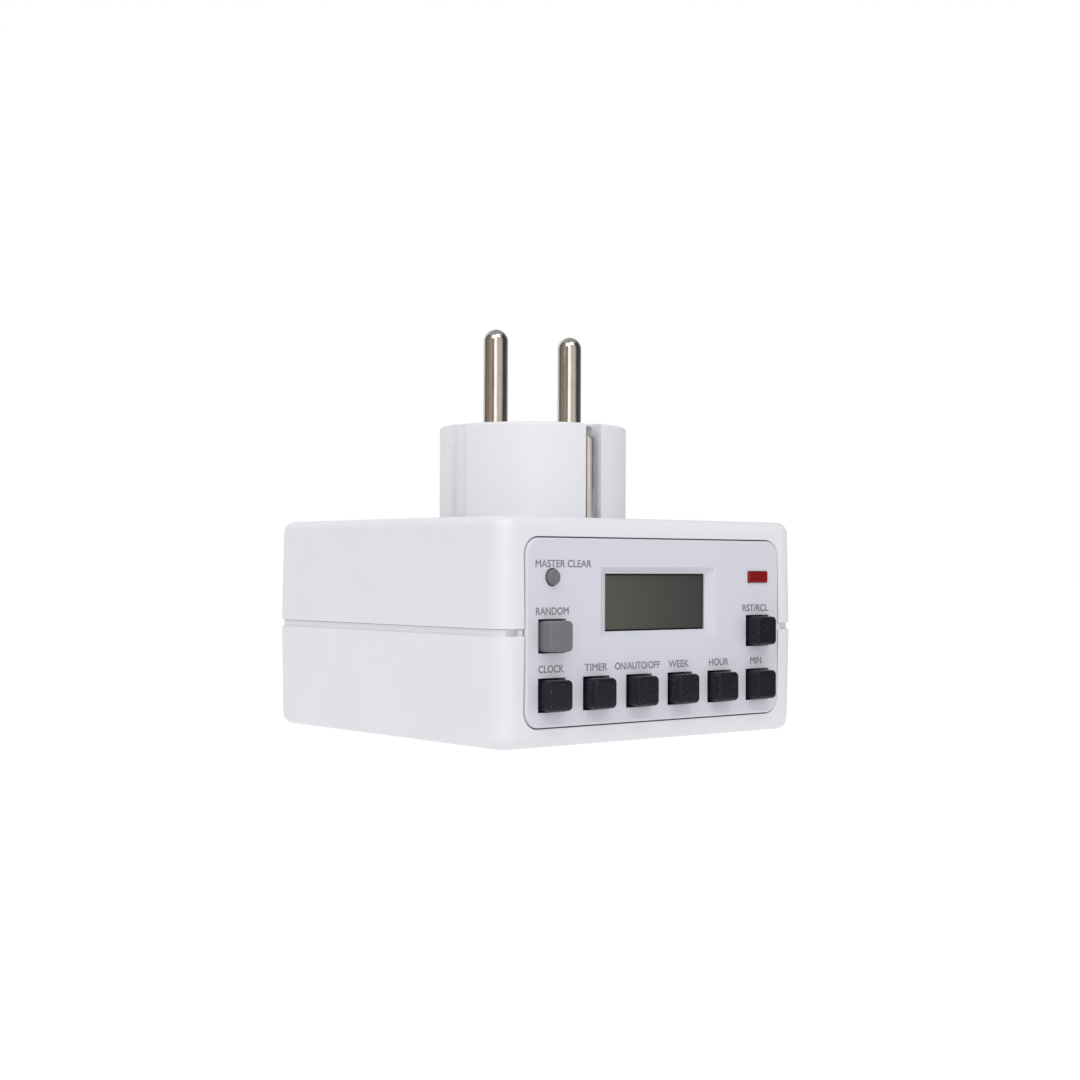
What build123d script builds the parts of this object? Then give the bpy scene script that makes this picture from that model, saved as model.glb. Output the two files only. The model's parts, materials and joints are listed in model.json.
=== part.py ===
from build123d import *
import math
import os

# Plug-in timer switch, in millimetres.
# The origin is the centre of the socket, on the face that the socket opens in. +Z runs from the
# socket to the plug pins, the control panel faces -Y, and +X is the panel's right-hand side.

# ---------------------------------------------------------------- housing
HOUSING_WIDTH = 74.4
HOUSING_DEPTH = 73.8
HOUSING_HEIGHT = 40.5
CORNER_RADIUS = 4.0
EDGE_ROUND = 2.2
DRAFT_ANGLE = 1.2
WALL = 2.2
SEAM_GAP = 1.3
SEAM_DEPTH = 0.5
SEAM_SKIN = 1.0
TONGUE_HEIGHT = 2.8
TONGUE_ROOT = 1.0
TONGUE_CLEARANCE = 0.1
NOTCH_EDGE_INSET = 2.0
NOTCH_LAP = 0.3
NOTCH_DEPTH = 1.2

# ---------------------------------------------------------------- plug
PIN_RADIUS = 2.4
PIN_SPACING = 19.0
PIN_LENGTH = 19.0
PIN_WAIST_RADIUS = 2.2
PIN_WAIST_RISE = 0.1
PIN_SHANK_RADIUS = 2.0
PIN_COLLAR_RADIUS = 3.6
PIN_COLLAR_THICKNESS = 1.5
RIVET_RADIUS = 1.4
RIVET_HEAD_RADIUS = 2.2
RIVET_HEAD = 0.5
PLUG_BODY_RADIUS = 18.55
PLUG_BODY_HEIGHT = 18.77
PLUG_FACE_THICKNESS = 2.4
PLUG_RIM_ROUND = 0.6
GUIDE_NOTCH_WIDTH = 4.8
GUIDE_NOTCH_DEPTH = 1.3
EARTH_GROOVE_WIDTH = 3.9
EARTH_GROOVE_DEPTH = 3.0
GROOVE_WALL = 1.6
GROOVE_OVERRUN = 10.0
PIN_CARRIER_RADIUS = 13.2
PIN_CARRIER_THICKNESS = 4.0
PIN_CARRIER_GAP = 1.0
STAKE_RADIUS = 2.0
STAKE_Y = 6.5
STAKE_HEIGHT = 0.4

# ---------------------------------------------------------------- socket
RECESS_RADIUS = 19.75
RECESS_DEPTH = 17.5
RECESS_WALL = 1.8
RECESS_FLOOR = 2.5
MOUTH_CHAMFER = 0.6
PIN_HOLE_RADIUS = 2.6
GUIDE_RIB_WIDTH = 4.2
GUIDE_RIB_REACH = 2.25
GUIDE_RIB_START = 1.5
EARTH_SLOT_CLEARANCE = 0.4
EARTH_SLOT_SILL = 0.15

# ---------------------------------------------------------------- control panel
PANEL_SIDE_MARGIN = 5.6
PANEL_LOWER_MARGIN = 3.6
PANEL_UPPER_MARGIN = 3.75
PANEL_CORNER_RADIUS = 3.0
PANEL_PROUD = 0.15
PANEL_PLATE = 2.0
PANEL_SKIRT_DEPTH = 3.5
PANEL_SKIRT_WIDTH = 1.5
PANEL_FLANGE_WIDTH = 1.1
PANEL_EDGE_ROUND = 0.5
PANEL_CLEARANCE = 0.25

WINDOW_WIDTH = 25.0
WINDOW_HEIGHT = 10.4
WINDOW_DROP = 11.5
BEVEL_WIDTH = 29.0
BEVEL_HEIGHT = 12.8
BEVEL_DEPTH = 1.1
LCD_WIDTH = 27.6
LCD_HEIGHT = 13.4
LCD_THICKNESS = 1.6
LCD_LEDGE = 0.8
LCD_SETBACK = 1.5
LCD_FRAME_WALL = 1.0
LCD_FRAME_LIP = 0.8
LCD_FRAME_LEDGE = 0.85
ZEBRA_INSET = 1.2
ZEBRA_WIDTH = 1.7
ZEBRA_END_GAP = 0.5

# ---------------------------------------------------------------- keys
KEY_SIDE_MARGIN = 5.85
LOWER_ROW_RISE = 5.65
ROW_PITCH = 10.3
RESET_DROP = 6.9
KEY_SIZE = 5.4
KEY_PROUD = 2.75
KEY_ROUND = 0.9
KEY_FACE_ROUND = 0.6
KEY_HOLE_WIDTH = 6.3
KEY_HOLE_HEIGHT = 6.0
KEY_FLANGE_MARGIN = 0.9
KEY_FLANGE_THICKNESS = 0.9
KEY_TRAVEL = 1.2
KEY_PILL_RADIUS = 1.9
PAD_RADIUS = 2.2
PAD_THICKNESS = 0.06
RESET_RADIUS = 1.4
RESET_HOLE_RADIUS = 1.6
RESET_PROUD = 0.8
RESET_FACE_ROUND = 0.4
LED_WIDTH = 5.2
LED_HEIGHT = 2.1
LED_PROUD = 0.35
LED_FACE_ROUND = 0.2
LED_SHOULDER = 0.6
LED_SHOULDER_THICKNESS = 1.6
LED_LEG_WIDTH = 0.5
LED_LEG_SPACING = 2.54
SHEET_THICKNESS = 1.2
SHEET_CORNER_RADIUS = 1.4
COLLAR_WALL = 0.3
COLLAR_CLEARANCE = 0.2
RESET_COLLAR_WALL = 0.5
RESET_TOWER_WIDTH = 6.8
RESET_TOWER_RISE = 3.4

# ---------------------------------------------------------------- control board
CONTROL_BOARD_SETBACK = 5.5
BOARD_THICKNESS = 1.6
BOARD_SIDE_GAP = 0.6
BOARD_END_GAP = 0.98
POST_RADIUS = 1.5
LOWER_POST_RISE = 7.15
UPPER_POST_DROP = 2.75
CHIP_SIZE = 10.0
CHIP_THICKNESS = 1.4
CHIP_STANDOFF = 0.1
CHIP_LEAD_COUNT = 11
CHIP_LEAD_PITCH = 0.8
CHIP_LEAD_WIDTH = 0.35
CHIP_LEAD_LENGTH = 1.4
CHIP_LEAD_HEIGHT = 0.6
CRYSTAL_RADIUS = 1.05
CRYSTAL_LENGTH = 7.0
CRYSTAL_DROP = 3.55
CRYSTAL_LEG_RADIUS = 0.2
CRYSTAL_LEG_SPACING = 0.9
CELL_RADIUS = 4.7
CELL_THICKNESS = 2.7
CELL_STANDOFF = 0.3
CLIP_STRAP_THICKNESS = 0.4
CLIP_STRAP_WIDTH = 4.0
CLIP_STRAP_GAP = 0.25
CLIP_STRAP_BEND = 0.6

# ---------------------------------------------------------------- screws, posts and bosses
BOARD_SCREW_RADIUS = 0.95
BOARD_SCREW_HEAD_RADIUS = 1.9
BOARD_SCREW_HEAD = 1.2
BOARD_SCREW_LENGTH = 4.0
HOUSING_SCREW_RADIUS = 1.45
HOUSING_SCREW_HEAD_RADIUS = 2.8
HOUSING_SCREW_HEAD = 2.0
HOUSING_SCREW_LENGTH = 15.0
SCREW_SLOT_WIDTH = 0.5
SCREW_SLOT_SHARE = 0.6
SCREW_SLOT_DEPTH_SHARE = 0.5
SCREW_EDGE_SHARE = 0.35
SCREW_HOLE_CLEARANCE = 0.15
SCREW_HEAD_CLEARANCE = 0.3
PILOT_FLOOR = 0.1
POWER_POST_RADIUS = 2.4
SIDE_POST_INSET = 3.2
SIDE_POST_Y = -4.0
REAR_POST_FROM_BOSS = 9.4
REAR_POST_INSET = 3.7
BOSS_RADIUS = 4.2
BOSS_SHOULDER = 6.0
BOSS_WALL_GAP = 0.4
BOSS_BOARD_GAP = 0.5
BOSS_RIB_THICKNESS = 1.6
BOSS_CORNER_LAP = 1.2

# ---------------------------------------------------------------- contacts and wiring
STRIP_THICKNESS = 0.8
STRIP_WIDTH = 6.0
STRIP_HEEL = 3.0
CLIP_THICKNESS = 0.7
CLIP_LENGTH = 8.0
CLIP_REACH = 3.6
CLIP_LEAF = 3.1
CLIP_FLARE = 0.6
LINE_LEG_LENGTH = 3.15
LOAD_STRIP_DROP = 4.0
EARTH_THICKNESS = 0.7
EARTH_NECK_WIDTH = 2.0
EARTH_CROWN_RADIUS = 2.0
EARTH_STRAP_WIDTH = 4.6
EARTH_TONGUE_WIDTH = 3.2
EARTH_RECESS = 0.5
EARTH_BEND = 1.5
EARTH_TONGUE_BEND = 0.8
EARTH_TIP_REACH = 1.5
EARTH_TIP_DROP = 0.7
EARTH_NECK_DROP = 2.9
STRAP_FOOT_RISE = 3.0
TONGUE_HEEL_RISE = 4.0
TONGUE_FOOT_RISE = 1.2
TONGUE_FOOT_REACH = 0.6
TONGUE_CREST_REACH = 1.55
TONGUE_CREST_RISE = 0.5
TONGUE_TIP_REACH = 0.5
TONGUE_TIP_DROP = 2.0
STRAP_STANDOFF = 0.5
JOGGLE_DROP = 3.8
JOGGLE_RISE = 6.5
BRIDGE_DROP = 1.7
BRIDGE_LIP = 1.6
BRIDGE_BEND = 0.5
SHUTTER_THICKNESS = 1.7
SHUTTER_ARM_HALF = 3.4
SHUTTER_REACH = 3.9
SHUTTER_POST_RADIUS = 1.5
SHUTTER_FLOOR_GAP = 0.15
SHUTTER_HEADROOM = 2.0
RAMP_WIDTH = 5.4
RAMP_TOE = 0.9
RAMP_LIP = 0.4
LUG_FROM = 3.2
LUG_TO = 4.0
LUG_HALF = 0.6
LUG_HEIGHT = 1.4
SPRING_WIRE_RADIUS = 0.16
SPRING_TURN = 0.42
SPRING_TURNS = 3
SPRING_POST_GAP = 0.35
SPRING_LIFT = 0.3
SPRING_LUG_LEG = (5.0, 2.2)
SPRING_PEG_LEG = (-1.5, -2.4)
PEG_Y = 13.0
PEG_SEAT_RADIUS = 2.6
CARRIER_THICKNESS = 1.6
CARRIER_RADIUS = 16.0
CARRIER_WALL = 1.3
CARRIER_WALL_HEIGHT = 5.0
CARRIER_STOP_HEIGHT = 2.0
CARRIER_STOP_HALF = 2.4
MAINS_WIRE_RADIUS = 1.1
SMALL_WIRE_RADIUS = 0.8
MAINS_WIRE_BEND = 5.0
LINE_LEAD_INSET = 5.5
LINE_LEAD_DROP = 1.5
LINE_LEAD_Y = 1.4
LOAD_LEAD_OUTSET = 3.65
LOAD_LEAD_RISE = 3.2
LOAD_LEAD_Y = -1.6
NEUTRAL_LEAD_INSET = 8.6
NEUTRAL_LEAD_DROP = 2.8
NEUTRAL_LEAD_Y = 0.8

# ---------------------------------------------------------------- power board
POWER_BOARD_Z = 5.0
POWER_BOARD_FRONT_Y = -21.0
POWER_BOARD_MARGIN = 0.4
POWER_BOARD_HOLE_GAP = 0.65
POWER_BOARD_THROAT = 12.55
POWER_BOARD_THROAT_DEPTH = 10.0
FILM_CAPACITOR_SIZE = (9.0, 18.0, 14.0)
FILM_CAPACITOR_BOSS_GAP = 1.9
CAN_RADIUS = 5.0
CAN_HEIGHT = 16.0
CAN_INSET = 6.7
CAN_FROM_BOSS = 12.6
PART_EDGE_ROUND = 0.6
VARISTOR_RADIUS = 4.5
VARISTOR_THICKNESS = 3.4
VARISTOR_EDGE_ROUND = 1.0
VARISTOR_INSET = 5.6
VARISTOR_FROM_CAN = 9.2
VARISTOR_RISE = 6.0
VARISTOR_LEG_RADIUS = 0.35
VARISTOR_LEG_SPACING = 5.0
AXIAL_WIRE_RADIUS = 0.3
AXIAL_WIRE_BEND = 0.5
DIODE_RADIUS = 1.25
DIODE_LENGTH = 5.2
DIODE_REACH = 3.9
DIODE_INSET = 4.8
DIODE_PITCH = 2.7
DIODE_COUNT = 4
FIRST_DIODE_Y = -7.4
RESISTOR_RADIUS = 1.6
RESISTOR_LENGTH = 7.0
RESISTOR_REACH = 4.6
RESISTOR_INSET = 6.0
RESISTOR_ROWS = (-9.6, -14.6)
PART_STANDOFF = 0.25
TRANSISTOR_RADIUS = 2.3
TRANSISTOR_FLAT = 1.3
TRANSISTOR_HEIGHT = 4.6
TRANSISTOR_RISE = 2.0
TRANSISTOR_OUTSET = 2.6
TRANSISTOR_Y = -4.6
TRANSISTOR_LEG_WIDTH = 0.44
LEG_PITCH = 1.27
HEADER_WIDTH = 6.0
HEADER_THICKNESS = 4.4
HEADER_HEIGHT = 4.2
HEADER_DEPTH = 4.0
HEADER_FROM_BOSS = 8.6
HEADER_EDGE_GAP = 0.7
RIBBON_RISE = 1.4
RIBBON_THICKNESS = 0.8
RIBBON_BEND = 0.9
RIBBON_MARGIN = 0.5

# ---------------------------------------------------------------- relay
RELAY_INSET = 4.45
RELAY_LENGTH = 28.0
RELAY_WIDTH = 8.0
RELAY_HEIGHT = 15.7
RELAY_COVER_WALL = 0.7
RELAY_BASE_THICKNESS = 1.5
RELAY_EDGE_ROUND = 0.5
COIL_X = -5.0
COIL_LENGTH = 7.0
BOBBIN_HALF = 3.1
BOBBIN_FLANGE = 0.8
BOBBIN_TUBE = 0.6
COIL_RADIUS = 2.9
CORE_RADIUS = 1.4
POLE_RADIUS = 2.2
POLE_HEIGHT = 0.6
YOKE_THICKNESS = 1.0
YOKE_X = 1.0
YOKE_HALF = 3.0
ARMATURE_HALF = 2.8
ARMATURE_THICKNESS = 1.0
ARMATURE_REACH = 3.6
ARMATURE_GAP = 0.6
BLADE_HALF = 1.6
BLADE_THICKNESS = 0.25
CONTACT_X = 10.0
CONTACT_RADIUS = 1.3
CONTACT_RISE = 0.9
CONTACT_GAP = 0.58
TERMINAL_X = 12.5
TERMINAL_THICKNESS = 0.5
TERMINAL_HALF = 1.5
TERMINAL_SLOT_CLEARANCE = 0.3

# ---------------------------------------------------------------- fits and working values
RUNNING_FIT = 0.05
LOOSE_FIT = 0.1
SEAT_GAP = 0.05
CONTACT_SEAT = 0.02
PIN_HOLE_CLEARANCE = 0.03
SINK = 0.5
CUT = 1.0

# ---------------------------------------------------------------- places worked out from the sizes
SEAM_Z = HOUSING_HEIGHT / 2
LOWER_EDGE_Z = SEAM_Z - SEAM_GAP / 2
UPPER_EDGE_Z = SEAM_Z + SEAM_GAP / 2
TONGUE_TOP_Z = LOWER_EDGE_Z + TONGUE_HEIGHT
INNER_X = HOUSING_WIDTH / 2 - WALL
INNER_Y = HOUSING_DEPTH / 2 - WALL
INNER_TOP_Z = HOUSING_HEIGHT - WALL
INNER_CORNER = CORNER_RADIUS - WALL
PIN_X = PIN_SPACING / 2

PLUG_FACE_Z = HOUSING_HEIGHT + PLUG_BODY_HEIGHT
PLUG_INNER_Z = PLUG_FACE_Z - PLUG_FACE_THICKNESS
PIN_TIP_Z = PLUG_FACE_Z + PIN_LENGTH
COLLAR_BOTTOM_Z = PLUG_INNER_Z - PIN_COLLAR_THICKNESS
BEYOND_PLUG = PLUG_BODY_RADIUS + GROOVE_OVERRUN
GROOVE_BACK = PLUG_BODY_RADIUS - EARTH_GROOVE_DEPTH
NOTCH_BACK = PLUG_BODY_RADIUS - GUIDE_NOTCH_DEPTH

RECESS_OUTER_RADIUS = RECESS_RADIUS + RECESS_WALL
FLOOR_TOP_Z = RECESS_DEPTH + RECESS_FLOOR

PANEL_WIDTH = HOUSING_WIDTH - 2 * PANEL_SIDE_MARGIN
PANEL_TOP_Z = HOUSING_HEIGHT - PANEL_UPPER_MARGIN
PANEL_HEIGHT = PANEL_TOP_Z - PANEL_LOWER_MARGIN
PANEL_CENTRE_Z = (PANEL_TOP_Z + PANEL_LOWER_MARGIN) / 2
PANEL_PLACE = (0, PANEL_CENTRE_Z)
PANEL_FACE_Y = -HOUSING_DEPTH / 2 - PANEL_PROUD
PLATE_BACK_Y = PANEL_FACE_Y + PANEL_PLATE
SKIRT_BACK_Y = PANEL_FACE_Y + PANEL_SKIRT_DEPTH
WINDOW_CENTRE_Z = PANEL_TOP_Z - WINDOW_DROP
LCD_FRONT_Y = PANEL_FACE_Y + LCD_SETBACK
LCD_BACK_Y = LCD_FRONT_Y + LCD_THICKNESS
LCD_POCKET = (LCD_WIDTH + 2 * LOOSE_FIT, LCD_HEIGHT + 2 * LOOSE_FIT)
LCD_FRAME_OUTER = (LCD_POCKET[0] + 2 * LCD_FRAME_WALL, LCD_POCKET[1] + 2 * LCD_FRAME_WALL)
BOARD_FRONT_Y = PANEL_FACE_Y + CONTROL_BOARD_SETBACK
BOARD_BACK_Y = BOARD_FRONT_Y + BOARD_THICKNESS
KEY_FACE_Y = PANEL_FACE_Y - KEY_PROUD
KEY_FLANGE_Y = PLATE_BACK_Y + SEAT_GAP
KEY_FLANGE_BACK_Y = KEY_FLANGE_Y + KEY_FLANGE_THICKNESS
KEY_FLANGE_WIDTH = KEY_HOLE_WIDTH + KEY_FLANGE_MARGIN
PILL_TIP_Y = BOARD_FRONT_Y - KEY_TRAVEL - LOOSE_FIT

KEY_PITCH = (PANEL_WIDTH - 2 * KEY_SIDE_MARGIN) / 5
COLUMNS = [KEY_PITCH * (number - 2.5) for number in range(6)]
LOWER_ROW_Z = PANEL_LOWER_MARGIN + LOWER_ROW_RISE
UPPER_ROW_Z = LOWER_ROW_Z + ROW_PITCH
RESET_Z = PANEL_TOP_Z - RESET_DROP
KEY_PLACES = {
    "clock_button": (COLUMNS[0], LOWER_ROW_Z),
    "timer_button": (COLUMNS[1], LOWER_ROW_Z),
    "mode_button": (COLUMNS[2], LOWER_ROW_Z),
    "week_button": (COLUMNS[3], LOWER_ROW_Z),
    "hour_button": (COLUMNS[4], LOWER_ROW_Z),
    "minute_button": (COLUMNS[5], LOWER_ROW_Z),
    "random_button": (COLUMNS[0], UPPER_ROW_Z),
    "recall_button": (COLUMNS[5], UPPER_ROW_Z),
}
RESET_PLACE = (COLUMNS[0], RESET_Z)
LED_PLACE = (COLUMNS[5], RESET_Z)

POST_X = (LCD_FRAME_OUTER[0] / 2 + COLUMNS[5] - KEY_FLANGE_WIDTH / 2) / 2
POST_HEIGHTS = (LOWER_ROW_Z + LOWER_POST_RISE, PANEL_TOP_Z - UPPER_POST_DROP)
POST_PLACES = [(side * POST_X, z) for side in (-1, 1) for z in POST_HEIGHTS]
CELL_PLACE = (POST_X, sum(POST_HEIGHTS) / 2)
CELL_FRONT_Y = BOARD_BACK_Y + CELL_STANDOFF

POWER_BOARD_TOP = POWER_BOARD_Z + BOARD_THICKNESS
BOSS_X = INNER_X - BOSS_RADIUS - BOSS_WALL_GAP
FRONT_BOSS_Y = BOARD_BACK_Y + BOSS_RADIUS + BOSS_BOARD_GAP
REAR_BOSS_Y = INNER_Y - BOSS_RADIUS - BOSS_WALL_GAP
BOSS_PLACES = [(side * BOSS_X, y) for side in (-1, 1) for y in (FRONT_BOSS_Y, REAR_BOSS_Y)]
BOSS_SPLIT_Z = SEAM_Z - LOOSE_FIT
SCREW_SEAT_Z = BOSS_SPLIT_Z + BOSS_SHOULDER
SIDE_POSTS = [(side * (INNER_X - SIDE_POST_INSET), SIDE_POST_Y) for side in (-1, 1)]
REAR_POSTS = [(side * (BOSS_X - REAR_POST_FROM_BOSS), INNER_Y - REAR_POST_INSET) for side in (-1, 1)]
POWER_POST_PLACES = SIDE_POSTS + REAR_POSTS

SHUTTER_BOTTOM_Z = FLOOR_TOP_Z + SHUTTER_FLOOR_GAP
SHUTTER_TOP_Z = SHUTTER_BOTTOM_Z + SHUTTER_THICKNESS
CARRIER_BOTTOM_Z = SHUTTER_TOP_Z + SHUTTER_HEADROOM
CARRIER_TOP_Z = CARRIER_BOTTOM_Z + CARRIER_THICKNESS
CLIP_BOTTOM_Z = CARRIER_TOP_Z + LOOSE_FIT
CLIP_TOP_Z = CLIP_BOTTOM_Z + CLIP_LENGTH
CLIP_WEB_X = PIN_X + CLIP_REACH
LEG_X = CLIP_WEB_X + CLIP_THICKNESS / 2 + SEAT_GAP
LEG_OUTER_X = LEG_X + STRIP_THICKNESS
BUSBAR_Z = HOUSING_HEIGHT + LOOSE_FIT
BUSBAR_TOP_Z = BUSBAR_Z + STRIP_THICKNESS
LINE_LEG_BOTTOM = INNER_TOP_Z - LINE_LEG_LENGTH
STRAP_Y = PLUG_BODY_RADIUS - EARTH_RECESS - EARTH_THICKNESS / 2
OUTER_STRAP_Y = RECESS_OUTER_RADIUS + STRAP_STANDOFF

HEADER_X = -(BOSS_X - HEADER_FROM_BOSS)
HEADER_TOP_Z = POWER_BOARD_TOP + HEADER_HEIGHT
HEADER_Y = POWER_BOARD_FRONT_Y + HEADER_EDGE_GAP + HEADER_THICKNESS / 2
UPPER_HEADER_BACK_Y = BOARD_BACK_Y + HEADER_DEPTH
RIBBON_Z = HEADER_TOP_Z + RIBBON_RISE
CAN_PLACE = (-(INNER_X - CAN_INSET), REAR_BOSS_Y - CAN_FROM_BOSS)

RELAY_Y = INNER_Y - RELAY_INSET
RELAY_INNER_X = RELAY_LENGTH / 2 - RELAY_COVER_WALL
RELAY_INNER_HALF = RELAY_WIDTH / 2 - RELAY_COVER_WALL
RELAY_BASE_TOP = POWER_BOARD_TOP + RELAY_BASE_THICKNESS
BOBBIN_BOTTOM = RELAY_BASE_TOP + YOKE_THICKNESS + LOOSE_FIT
BOBBIN_TOP = BOBBIN_BOTTOM + COIL_LENGTH
POLE_TOP = BOBBIN_TOP + RUNNING_FIT + POLE_HEIGHT
HINGE_Z = POLE_TOP + ARMATURE_GAP
ARMATURE_TOP = HINGE_Z + ARMATURE_THICKNESS
FIXED_CONTACT_Z = ARMATURE_TOP + CONTACT_RISE + CONTACT_GAP
TERMINAL_Z = FIXED_CONTACT_Z + TERMINAL_THICKNESS


# ---------------------------------------------------------------- shapes used again and again
def block(x_range, y_range, z_range):
    """A box between two corners, whose ranges may run either way."""
    ranges = (x_range, y_range, z_range)
    size = [abs(end - start) for start, end in ranges]
    middle = [(start + end) / 2 for start, end in ranges]
    return Pos(*middle) * Box(*size)


def disc(radius, z_range, place=(0, 0)):
    """An upright cylinder between two heights."""
    low, high = z_range
    return Pos(place[0], place[1], (low + high) / 2) * Cylinder(radius, high - low)


def prism_y(sketch, front, back):
    """A sketch drawn facing the panel, run from its front to its back along Y."""
    return extrude(Plane.XZ.offset(-back) * sketch, amount=back - front)


def disc_y(radius, front, back, place):
    """A cylinder along Y between a front and a back."""
    return prism_y(Pos(*place) * Circle(radius), front, back)


def plate_y(width, height, corner, front, back, place):
    """A rounded plate that faces the panel side."""
    return prism_y(Pos(*place) * RectangleRounded(width, height, corner), front, back)


def upright_prism(width, depth, corner, z_range):
    """A rounded box between two heights, centred on Z."""
    low, high = z_range
    return extrude(Plane.XY.offset(low) * RectangleRounded(width, depth, corner), amount=high - low)


def strip(plane, points, radius, thickness, width):
    """Bent sheet metal: a line of points in a plane, thickened, and widened both ways."""
    line = FilletPolyline(*points, radius=radius)
    return extrude(plane * trace(line, line_width=thickness), amount=width / 2, both=True)


def rod(path, radius):
    """A round rod or wire along a path."""
    start = Plane(origin=path @ 0, z_dir=path % 0)
    return sweep(start * Circle(radius), path=path)


def wire(points, bend, radius):
    """A round wire along straight runs joined by arcs."""
    return rod(FilletPolyline(*points, radius=bend), radius)


def turned(shape):
    """The shape turned half a turn about Z."""
    return Rot(0, 0, 180) * shape


def face_rounded(shape, radius):
    """The shape with the edges of its foremost face rounded."""
    return fillet(shape.faces().sort_by(Axis.Y)[0].edges(), radius)


def rim_rounded(shape, radius):
    """The shape with its topmost circular edge rounded."""
    return fillet(shape.edges().group_by(Axis.Z)[-1], radius)


# ---------------------------------------------------------------- housing shells
def shell_blank(edge_z, end_z):
    """One drafted half of the outer box, from the seam edge to its closed end."""
    outline = Plane.XY.offset(edge_z) * RectangleRounded(HOUSING_WIDTH, HOUSING_DEPTH, CORNER_RADIUS)
    direction = (0, 0, math.copysign(1, end_z - edge_z))
    blank = extrude(outline, amount=abs(end_z - edge_z), dir=direction, taper=DRAFT_ANGLE)
    end_face = blank.faces().sort_by(Axis.Z)[-1 if end_z > edge_z else 0]
    return fillet(end_face.edges(), EDGE_ROUND)


def cavity(z_range):
    """The straight-sided hollow of the housing."""
    return upright_prism(2 * INNER_X, 2 * INNER_Y, INNER_CORNER, z_range)


def inset_prism(inset, z_range):
    """The housing's outline drawn in by an inset, between two heights."""
    return upright_prism(
        HOUSING_WIDTH - 2 * inset,
        HOUSING_DEPTH - 2 * inset,
        CORNER_RADIUS - inset,
        z_range,
    )


def panel_opening():
    """The hole in the front wall that the panel drops into, cut across both shells."""
    return plate_y(
        PANEL_WIDTH + 2 * PANEL_CLEARANCE,
        PANEL_HEIGHT + 2 * PANEL_CLEARANCE,
        PANEL_CORNER_RADIUS + PANEL_CLEARANCE,
        -HOUSING_DEPTH / 2 - CUT,
        -INNER_Y + CUT,
        PANEL_PLACE,
    )


def seam_tongue():
    """The lip on the socket-side shell: its foot fills the seam groove, its tip enters the other shell."""
    bottom = LOWER_EDGE_Z - TONGUE_ROOT
    tongue = inset_prism(SEAM_DEPTH, (bottom, UPPER_EDGE_Z - TONGUE_CLEARANCE))
    tongue += inset_prism(SEAM_SKIN, (bottom, TONGUE_TOP_Z))
    tongue -= cavity((bottom - CUT, TONGUE_TOP_Z + CUT))
    notch_x = (HOUSING_WIDTH / 2 - CORNER_RADIUS - NOTCH_LAP, HOUSING_WIDTH / 2 - NOTCH_EDGE_INSET)
    notch_y = (-HOUSING_DEPTH / 2, -HOUSING_DEPTH / 2 + NOTCH_DEPTH)
    notch = block(notch_x, notch_y, (LOWER_EDGE_Z, TONGUE_TOP_Z + CUT))
    return tongue - notch - mirror(notch, Plane.YZ)


def boss_with_rib(place, boss_z, rib_z):
    """A screw boss and the rib that ties it to the side wall."""
    half = BOSS_RIB_THICKNESS / 2
    wall_x = math.copysign(INNER_X + SINK, place[0])
    rib = block((place[0], wall_x), (place[1] - half, place[1] + half), rib_z)
    return disc(BOSS_RADIUS, boss_z, place) + rib


def mouth_chamfered(shell):
    """The shell with the edge of the socket's mouth chamfered."""
    lowest = shell.edges().filter_by(GeomType.CIRCLE).group_by(Axis.Z)[0]
    mouth = lowest.filter_by(lambda edge: abs(edge.radius - RECESS_RADIUS) < LOOSE_FIT)
    return chamfer(mouth, MOUTH_CHAMFER)


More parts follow.
